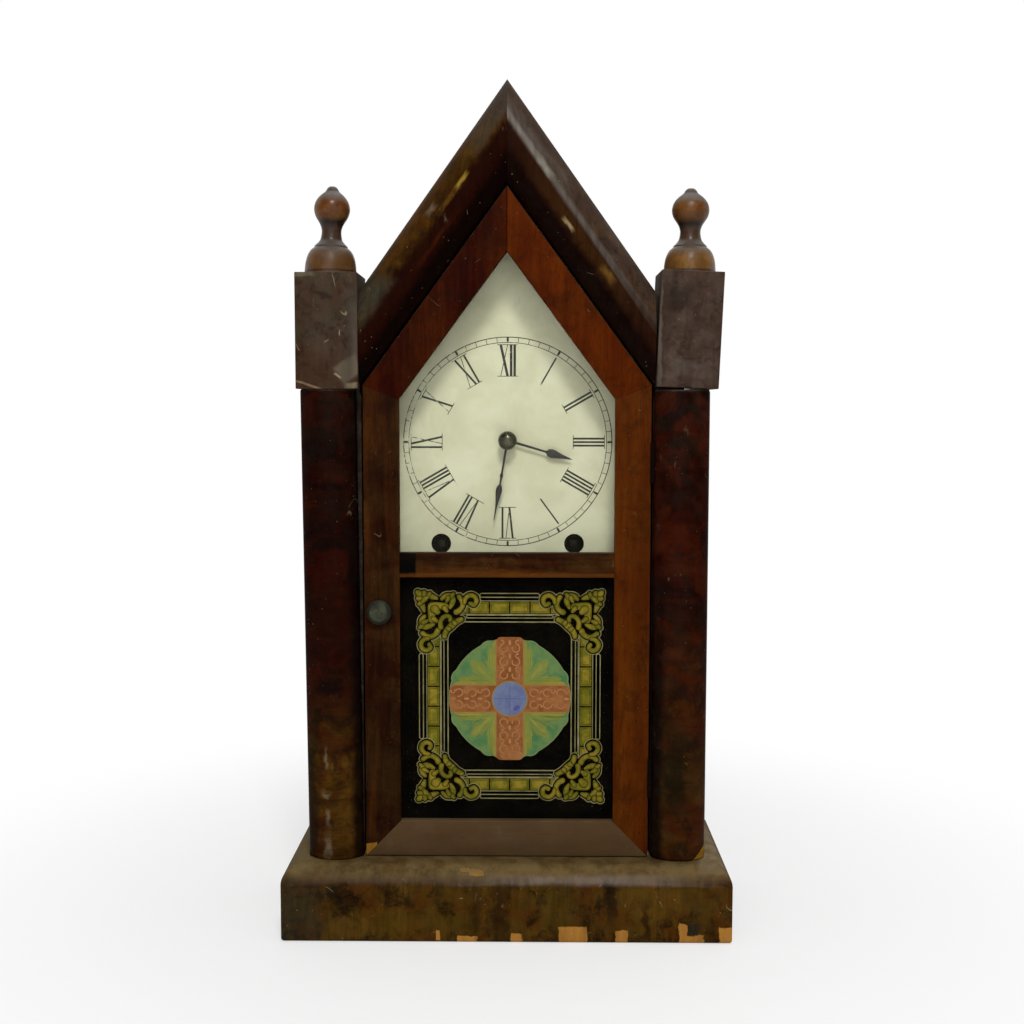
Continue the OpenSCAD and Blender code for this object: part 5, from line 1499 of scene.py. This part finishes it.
@dataclass
class Tablet:
    """The tablet: a black ground behind glass, with a gilt scroll border and a quartered roundel.

    Attributes:
        left: x of the border's left edge.
        right: x of its right edge.
        bottom: height of its bottom edge.
        top: height of its top edge.
        brick: length of one brick of the band.
        reach: length of a corner cluster along the border.
        line: width of the fine lines.
        full: how much fuller the scrolls are than their widths say.
        middle: height of the middle of the roundel.
        across: x of the middle of the roundel.
        radius: radius of the roundel.
        arm: half of the width of its arms.
        soft: radius of the corners of its arms.
        boss: radius of the disc in its middle.
    """

    left: float = -0.057
    right: float = 0.0602
    bottom: float = 0.0757
    top: float = 0.2095
    brick: float = 0.01225
    reach: float = 0.0418
    line: float = 0.00055
    full: float = 1.3
    middle: float = 0.1414
    across: float = 0.0017
    radius: float = 0.0371
    arm: float = 0.0081
    soft: float = 0.0026
    boss: float = 0.0103

    GROUND = (0.003, 0.0022, 0.0015)
    FLAT = {"sheen": 0.0, "rough": 0.7}
    GOLD, BLACK, PALE, SHADE, BRIGHT = range(5)
    LINES = (0.0038, 0.0062)
    BAND = (0.0081, 0.0168)
    INNER_LINES = (0.0188, 0.0171)
    INNER = 0.0212
    SCROLLS = (
        Scroll(((14.6, 6.9, 1.3), (12.6, 6.2, 2.3), (9.6, 5.2, 2.6), (6.4, 5.0, 2.9), (4.4, 4.4, 2.6))),
        Scroll(((3.2, 3.2, 2.4), (4.6, 4.6, 3.2)), False),
        Scroll(((6.9, 3.2, 1.9), (7.0, 4.8, 2.2))),
        Scroll(((10.4, 3.8, 1.6), (9.6, 5.4, 2.0))),
        Scroll(((6.2, 8.8, 1.6), (7.4, 7.2, 2.4))),
        Scroll((
            (17.7, 7.2, 1.6), (19.6, 5.6, 2.3), (22.4, 5.4, 2.6), (24.2, 7.4, 2.6), (23.8, 10.0, 2.3),
            (22.6, 12.4, 1.5),
        )),
        Scroll(((24.6, 4.2, 1.6), (23.2, 5.8, 2.2))),
        Scroll(((20.6, 8.6, 1.4), (21.6, 6.4, 2.2))),
        Scroll(((28.2, 5.9, 2.3), (29.7, 8.4, 1.9), (30.2, 11.2, 2.2), (28.6, 13.9, 2.4), (26.4, 15.2, 2.6))),
        Scroll((
            (31.3, 9.4, 1.7), (32.0, 6.8, 2.0), (34.6, 4.9, 2.1), (37.6, 5.9, 2.2), (38.5, 8.6, 2.1), (37.0, 10.8, 1.9),
            (35.0, 10.0, 2.0),
        )),
        Scroll(((19.6, 11.8, 3.4), (15.2, 11.3, 3.2), (11.6, 11.6, 3.6))),
        Scroll(((20.6, 14.6, 1.6), (19.2, 12.6, 2.4))),
        Scroll(((13.4, 13.4, 4.0), (15.0, 15.0, 2.6)), False),
        Scroll((
            (17.1, 24.4, 2.4), (16.8, 21.4, 2.0), (18.2, 18.6, 2.0), (20.8, 17.4, 1.9), (22.6, 18.4, 1.8),
            (22.8, 20.2, 2.0),
        ), False),
        Scroll(((19.2, 29.9, 2.2), (20.0, 27.2, 2.4), (23.0, 23.8, 3.0), (26.8, 20.8, 2.4), (29.4, 19.5, 2.2)), False),
        Scroll(((20.9, 24.8, 1.6), (21.9, 25.4, 2.4))),
    )
    GAPS = (
        (12.0, 12.0, 7.6), (20.0, 10.6, 4.4), (27.0, 9.6, 3.4), (20.6, 20.6, 4.6), (25.6, 15.6, 3.4), (33.6, 8.4, 2.8),
        (18.0, 15.0, 4.4),
    )
    LOBES = (
        (-38, 0.0285, 0.0052), (38, 0.0285, 0.0052), (-22, 0.0292, 0.0048), (22, 0.0292, 0.0048), (0, 0.0278, 0.0058),
    )

    def __post_init__(self) -> None:
        """Finds the back of the glass."""
        self.low, self.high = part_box("tablet_glass")
        self.ground_y = self.high.y - 0.0002
        self.centre = (self.across, self.middle)
        self.black = Paint(
            "tablet_black", self.GROUND, (0.0008, 0.0007, 0.0005), (0.006, 0.006, 0.004), size=50.0, **self.FLAT
        )

    def inset(self, by: float) -> tuple[float, float, float, float]:
        """Returns the left, right, bottom and top of the border, moved inwards by that much."""
        return self.left + by, self.right - by, self.bottom + by, self.top - by

    def corners(self) -> Iterable[tuple[Spot, float, float]]:
        """Goes round the four corners.

        Returns:
            Each corner's place and the directions inwards from it along X and Z.
        """
        for x, sx in ((self.left, 1.0), (self.right, -1.0)):
            for z, sz in ((self.bottom, 1.0), (self.top, -1.0)):
                yield (x, z), sx, sz

    def scroll(self, work: FlatWork, scroll: Scroll, grow: float, ink: int) -> None:
        """Paints a scroll in all four corners.

        Args:
            work: the sheet to paint on.
            scroll: the scroll.
            grow: how far its outline is grown, in millimetres.
            ink: number of the paint.
        """
        line = [(u / 1000, v / 1000, max(self.full * width + 2 * grow, 0.3) / 1000) for u, v, width in scroll.smooth()]
        for (x, z), sx, sz in self.corners():
            work.ribbon([(x + sx * u, z + sz * v, width) for u, v, width in line], ink)
            if scroll.twin:
                work.ribbon([(x + sx * v, z + sz * u, width) for u, v, width in line], ink)

    def clusters(self, work: FlatWork) -> None:
        """Paints the four corners of scrolls and leaves, each with a pale rim round a black gap.

        Args:
            work: the sheet.
        """
        for grow, ink in ((1.3, self.PALE), (0.8, self.BLACK)):
            for scroll in self.SCROLLS:
                self.scroll(work, scroll, grow, ink)
            work.next()
        for (x, z), sx, sz in self.corners():
            for u, v, radius in self.GAPS:
                for a, b in {(u, v), (v, u)}:
                    work.disc((x + sx * a / 1000, z + sz * b / 1000), radius / 1000, self.BLACK)
        work.next()
        for scroll in self.SCROLLS:
            for grow, ink in ((0.35, self.BLACK), (0.0, self.GOLD), (-0.5, self.SHADE), (-0.65, self.BRIGHT)):
                self.scroll(work, scroll, grow, ink)
                work.next()

    def rails(self, work: FlatWork) -> None:
        """Paints the lines along the sides, with a curl at each end, and the inner line between the clusters.

        Args:
            work: the sheet.
        """
        for first, second, near in ((*self.LINES, self.reach), (*self.INNER_LINES, self.reach - 0.0085)):
            start_x, end_x, start_z, end_z = self.inset(near)
            for inwards in (first, second):
                left, right, bottom, top = self.inset(inwards)
                for z in (bottom, top):
                    work.stroke((start_x, z), (end_x, z), self.line, self.PALE)
                for x in (left, right):
                    work.stroke((x, start_z), (x, end_z), self.line, self.PALE)
            left, right, bottom, top = self.inset((first + second) / 2)
            curls = [((x, z), turn) for z in (bottom, top) for x, turn in ((start_x, 0.5), (end_x, -0.5))]
            curls += [((x, z), turn) for x in (left, right) for z, turn in ((start_z, 1.0), (end_z, 0.0))]
            for at, turn in curls:
                work.arc(at, abs(second - first) / 2, self.line, turn * math.pi, math.pi, self.PALE, 10)
        middle = ((self.left + self.right) / 2, (self.bottom + self.top) / 2)
        for (x, z), sx, sz in self.corners():
            work.stroke((x + sx * 0.031, z + sz * self.INNER), (middle[0], z + sz * self.INNER), 0.0007, self.PALE)
            work.stroke((x + sx * self.INNER, z + sz * 0.031), (x + sx * self.INNER, middle[1]), 0.0007, self.PALE)
        work.next()

    def bricks(self, work: FlatWork) -> None:
        """Paints the band of bricks on each side.

        Args:
            work: the sheet.
        """
        near, far = self.BAND
        half = (far - near) / 2
        left, right, bottom, top = self.inset(near + half)
        sides = ((True, left, 5), (True, right, 5), (False, bottom, 4), (False, top, 4))
        middle = ((self.left + self.right) / 2, (self.bottom + self.top) / 2)

        def bar(upright: bool, line: float, a: float, b: float, width: float, ink: int) -> None:
            """Paints a bar along the band from a to b."""
            work.stroke(*(((line, a), (line, b)) if upright else ((a, line), (b, line))), width, ink)

        for width, ink in ((2 * half, self.PALE), (2 * half - 0.0011, self.BLACK)):
            for upright, line, count in sides:
                centre, run = middle[upright], self.brick * (count / 2 + 1.0)
                bar(upright, line, centre - run, centre + run, width, ink)
            work.next()
        for cut, ink in ((0.0004, self.GOLD), (0.0014, self.SHADE), (0.0016, self.BRIGHT)):
            for upright, line, count in sides:
                for i in range(-1, count + 1):
                    a = middle[upright] + self.brick * (i - count / 2)
                    bar(upright, line, a + cut, a + self.brick - cut, 2 * (half - 0.0006 - cut), ink)
            work.next()

    def border(self) -> None:
        """Paints the gilt border."""
        work = FlatWork(self.ground_y)
        self.rails(work)
        self.bricks(work)
        self.clusters(work)
        gilt = [
            Paint(f"tablet_{name}", colour, aged, self.GROUND, loss=loss, size=size, **self.FLAT)
            for name, colour, aged, loss, size in (
                ("gold", (0.15, 0.118, 0.011), (0.075, 0.07, 0.006), 0.15, 170.0),
                ("pale_gold", (0.21, 0.19, 0.09), (0.13, 0.12, 0.045), 0.2, 140.0),
                ("gold_shade", (0.05, 0.038, 0.004), (0.03, 0.024, 0.003), 0.0, 110.0),
                ("bright_gold", (0.22, 0.16, 0.018), (0.1, 0.1, 0.008), 0.15, 170.0),
            )
        ]
        gilt.insert(self.BLACK, self.black)
        finished("tablet_border", work.bm, gilt, "door")

    def medallion(self) -> None:
        """Paints the roundel: four quarters of leaves, four arms of scrollwork and a blue disc."""
        colours = {
            "green": ((0.125, 0.175, 0.043), (0.165, 0.18, 0.04)),
            "teal": ((0.055, 0.145, 0.055), (0.115, 0.18, 0.06)),
            "leaf": ((0.215, 0.205, 0.035), (0.15, 0.18, 0.035)),
            "vein": ((0.2, 0.23, 0.1), (0.15, 0.19, 0.06)),
            "terracotta": ((0.17, 0.058, 0.018), (0.25, 0.1, 0.034)),
            "scroll": ((0.34, 0.165, 0.07), (0.25, 0.11, 0.04)),
            "edge": ((0.24, 0.16, 0.04), (0.2, 0.14, 0.035)),
            "blue": ((0.13, 0.155, 0.24), (0.095, 0.115, 0.22)),
            "violet": ((0.09, 0.085, 0.22), (0.06, 0.06, 0.19)),
        }
        green, teal, leaf, vein, clay, scroll, edge, blue, violet = range(len(colours))
        work = FlatWork(self.ground_y)
        self.quarters(work, green, teal, leaf, vein)
        self.arms(work, clay, scroll, edge, leaf)
        for radius, ink in ((self.boss + 0.0007, edge), (self.boss, blue)):
            work.disc(self.centre, radius, ink, sides=40)
            work.next()
        for turn in (0.0, math.pi / 2):
            work.stroke(self.ray(turn, -0.95 * self.boss), self.ray(turn, 0.95 * self.boss), 0.0003, violet)
        work.disc((self.across + 0.0042, self.middle - 0.0058), 0.0022, violet, 0.7, 0.6)
        paints = [
            Paint(f"roundel_{name}", *pair, self.GROUND, size=130.0, **self.FLAT)
            for name, pair in colours.items()
        ]
        finished("tablet_roundel", work.bm, paints, "door")

    def ray(self, turn: float, along: float, aside: float = 0.0) -> Spot:
        """Returns the place that far from the roundel's middle in a direction, and that far to the left of it."""
        x, z = math.cos(turn), math.sin(turn)
        return self.across + x * along - z * aside, self.middle + z * along + x * aside

    def quarters(self, work: FlatWork, green: int, teal: int, leaf: int, vein: int) -> None:
        """Paints the four quarters, each with a fan of leaves.

        Args:
            work: the sheet to paint on.
            green: number of the ground's paint.
            teal: number of the shade's.
            leaf: number of the leaves'.
            vein: number of the veins'.
        """
        faces = [math.radians(45 + 90 * quarter) for quarter in range(4)]
        for inside, ink in ((0.0, vein), (0.0004, teal)):
            work.disc(self.centre, self.radius - 0.0001 - inside, ink, sides=56)
            for knee in range(8):
                work.disc(self.ray(math.radians(22.5 + 45 * knee), 0.0318), 0.0062 - inside, ink, sides=24)
            work.next()
        for face in faces:
            work.disc(self.ray(face, 0.0195), 0.0098, green, 0.9, face)
        work.next()
        for grow, ink in ((1.0, green), (0.72, leaf)):
            for face in faces:
                for spread, away, size in self.LOBES:
                    at = self.ray(face + math.radians(spread), away)
                    work.disc(at, size * grow, ink, 0.5, face + math.radians(1.7 * spread), 8)
            work.next()
        for face in faces:
            root = self.ray(face, 0.0145)
            for spread, away, size in self.LOBES:
                tip = self.ray(face + math.radians(spread), away + 0.7 * size)
                bow = (0.0012 * math.cos(face), 0.0012 * math.sin(face))
                knee = tuple(0.5 * (a + b) + c for a, b, c in zip(root, tip, bow))
                line = teal if spread else vein
                for ink, *widths in ((leaf, 0.0022, 0.0026, 0.0005), (line, 0.0003, 0.0004, 0.0003)):
                    work.ribbon([(*at, width) for at, width in zip((root, knee, tip), widths)], ink)
                    work.next()
            for spread in (-29, -11, 11, 29):
                outer_end = self.ray(face + math.radians(spread), 0.0342)
                inner_end = self.ray(face + math.radians(0.8 * spread), 0.0205)
                work.ribbon([(*outer_end, 0.0024), (*inner_end, 0.0003)], teal)
            work.next()

    def arms(self, work: FlatWork, clay: int, scroll: int, edge: int, rim: int) -> None:
        """Paints the four arms with their scrollwork.

        Args:
            work: the sheet to paint on.
            clay: number of the arms' paint.
            scroll: number of the scrollwork's.
            edge: number of their edges'.
            rim: number of their outer edges'.
        """
        turns = [math.radians(90 * turn) for turn in range(4)]
        for grow, short, ink in ((0.0026, 0.0024, rim), (0.0012, 0.001, edge), (0.0, 0.0, clay)):
            for number, turn in enumerate(turns):
                far = self.radius - 0.0007 * (-1) ** number - short
                end, wide = far - self.soft, self.arm + grow
                work.stroke(self.centre, self.ray(turn, end), 2 * wide, ink)
                work.stroke(self.centre, self.ray(turn, far), 2 * (wide - self.soft), ink)
                for side in (-1, 1):
                    work.disc(self.ray(turn, end, side * (wide - self.soft)), self.soft, ink, sides=14)
            work.next()
        for turn in turns:
            for step in range(3):
                along = self.boss + 0.0042 + step * 0.0082
                for side in (-1, 1):
                    start, sweep = turn + side * math.radians(30), side * math.radians(265)
                    work.arc(self.ray(turn, along, side * 0.0037), 0.0023, 0.0007, start, sweep, scroll, 12)
                    out = self.ray(turn, along + 0.0036, side * 0.0047)
                    work.arc(out, 0.0012, 0.0006, turn, -side * math.radians(230), scroll, 10)
                    work.disc(self.ray(turn, along + 0.0048, side * 0.0047), 0.0007, scroll, sides=8)
                work.disc(self.ray(turn, along + 0.0035), 0.0017, scroll, 0.5, turn, 8)
            work.next()

    def ground(self) -> None:
        """Lays the black ground on the back of the glass."""
        bm = bmesh.new()
        size = self.high - self.low
        middle = (self.low + self.high) / 2
        at = Matrix.Translation((middle.x, self.ground_y + 0.0001, middle.z))
        block = Matrix.Diagonal((size.x - 0.0004, 0.0002, size.z - 0.0004, 1.0))
        bmesh.ops.create_cube(bm, size=1.0, matrix=at @ block)
        finished("tablet_ground", bm, [self.black], "door")


def dress_movement() -> None:
    """Gives the brass, steel and iron nodes of the movement, the pendulum and the gong their finishes."""
    finishes = (
        (
            # The front plate is painted dark: painted shade behind the dial, seen through the winding holes.
            OldMetal("shade_darkened_brass", (0.03, 0.024, 0.009), (0.012, 0.009, 0.004), 0.7, 0.5, metallic=0.5, sheen=0.15),
            ("front_plate",),
        ),
        (
            OldMetal("aged_brass", (0.6, 0.42, 0.15), (0.22, 0.14, 0.05), 0.45, 0.34),
            (
                "back_plate", "time_great_wheel", "time_second_wheel", "centre_wheel", "third_wheel", "escape_wheel",
                "strike_great_wheel", "strike_second_wheel", "strike_third_wheel", "strike_fly", "minute_wheel",
                "hour_wheel", "pendulum_bob", "dial_tacks",
            ),
        ),
        (
            OldMetal("dull_steel", (0.32, 0.31, 0.29), (0.12, 0.09, 0.06), 0.45, 0.36),
            ("movement_fasteners", "mainsprings", "verge", "strike_hammer", "pendulum_rod", "gong_coil"),
        ),
        (
            OldMetal("dark_steel", (0.02, 0.02, 0.012), (0.008, 0.008, 0.004), 0.6, 0.5, metallic=0.5, sheen=0.1),
            ("time_winding_arbor", "strike_winding_arbor"),
        ),
        (
            OldMetal("black_iron", (0.04, 0.038, 0.035), (0.05, 0.03, 0.02), 0.4, 0.5, metallic=0.6),
            ("gong_stand",),
        ),
    )
    for finish, nodes in finishes:
        for node in nodes:
            dress(node, finish)


@dataclass
class Studio:
    """The floor, the light and the camera.

    Attributes:
        camera_at: place of the camera.
        yaw: its turn to the left, in degrees.
        pitch: its tilt down, in degrees.
        roll: its turn about its own line of sight, in degrees.
        lens: its focal length on a 36 mm sensor, in millimetres.
        ambient: light from all round, as a share of full light.
    """

    camera_at: Triple = (0.0122, -0.8063, 0.3181)
    yaw: float = 0.68
    pitch: float = 4.63
    roll: float = 0.05
    lens: float = 45.84
    ambient: float = 0.25

    def floor(self) -> None:
        """Lays a pale floor that fades into the white background."""
        bm = bmesh.new()
        bmesh.ops.create_grid(bm, x_segments=1, y_segments=1, size=6.0)
        mesh = bpy.data.meshes.new("floor")
        bm.to_mesh(mesh)
        bm.free()
        material = bpy.data.materials.new("pale_floor")
        material.use_nodes = True
        g = Graph(material.node_tree)
        at = g.place()["Object"]
        pale = g.mix(g.noise(at, 60.0, 2.0), (0.88, 0.88, 0.88), (0.9, 0.9, 0.9))
        matte = g.add("BsdfPrincipled", {"Base Color": pale, "Roughness": 0.9, "Specular IOR Level": 0.1})
        glow = g.add("Emission", {"Color": (1.0, 1.0, 1.0), "Strength": 1.0})
        path = g.add("LightPath", {})
        seen_directly = g.most(path["Is Camera Ray"], g.most(path["Is Glossy Ray"], path["Is Transmission Ray"]))
        away = g.add("VectorMath", {0: at}, operation="LENGTH")["Value"]
        share = g.times(seen_directly, g.between(g.rise(away, 0.16, 0.5), 0.45, 1.0))
        blend = g.add("MixShader", {0: share, 1: matte[0], 2: glow[0]})
        g.add("OutputMaterial", {"Surface": blend[0]})
        mesh.materials.append(material)
        floor = bpy.data.objects.new("floor", mesh)
        bpy.context.scene.collection.objects.link(floor)

    def lights(self) -> None:
        """Hangs the soft lamps, in a room whose far side is white."""
        world = bpy.data.worlds.new("room")
        bpy.context.scene.world = world
        world.use_nodes = True
        g = Graph(world.node_tree)
        path = g.add("LightPath", {})
        far_side = g.rise(g.axes(g.place()["Object"])[1], -0.35, 0.25)
        mirrored = g.most(path["Is Glossy Ray"], path["Is Transmission Ray"])
        level = g.between(mirrored, self.ambient, g.between(far_side, 0.14, 1.0))
        level = g.between(path["Is Camera Ray"], level, 1.0)
        room = g.add("Background", {"Color": (1.0, 1.0, 1.0), "Strength": level})
        g.add("OutputWorld", {"Surface": room[0]})
        lamps = (
            ("key", (0.1, -1.22, 1.5), (0.0, 0.0, 0.28), 0.34, 18.2),
            ("fill", (-0.15, -2.3, 0.55), (0.0, 0.0, 0.25), 2.0, 20.0),
            ("overhead", (0.1, 0.1, 1.7), (0.0, 0.0, 0.25), 1.4, 9.0),
        )
        for name, at, towards, size, power in lamps:
            data = bpy.data.lights.new(name, "AREA")
            data.size = size
            data.energy = power
            lamp = bpy.data.objects.new(name, data)
            lamp.location = at
            lamp.rotation_euler = (Vector(towards) - Vector(at)).to_track_quat("-Z", "Y").to_euler()
            bpy.context.scene.collection.objects.link(lamp)

    def camera(self) -> None:
        """Sets the camera where the photograph was taken from."""
        data = bpy.data.cameras.new("camera")
        data.sensor_width = 36.0
        data.lens = self.lens
        camera = bpy.data.objects.new("camera", data)
        yaw, pitch = math.radians(-self.yaw), math.radians(self.pitch)
        ahead = Vector((math.sin(yaw) * math.cos(pitch), math.cos(yaw) * math.cos(pitch), -math.sin(pitch)))
        turn = ahead.to_track_quat("-Z", "Y").to_matrix().to_4x4() @ Matrix.Rotation(math.radians(self.roll), 4, "Z")
        camera.matrix_world = Matrix.Translation(self.camera_at) @ turn
        bpy.context.scene.collection.objects.link(camera)
        bpy.context.scene.camera = camera
        bpy.context.scene.view_settings.view_transform = "Standard"


def main() -> None:
    """Builds the clock's looks in order, and reports each piece."""
    logging.basicConfig(level=logging.INFO, format="%(message)s")
    studio = Studio()
    studio.camera()
    studio.floor()
    studio.lights()
    case = Case()
    case.base()
    case.columns()
    case.gable()
    case.blocks()
    case.finials()
    case.carcase()
    door = Door()
    door.frame()
    door.panes()
    door.beads()
    door.fittings()
    dial = Dial()
    dial.painting()
    dial.hands()
    tablet = Tablet()
    tablet.ground()
    tablet.border()
    tablet.medallion()
    dress_movement()


if __name__ == "__main__":
    main()
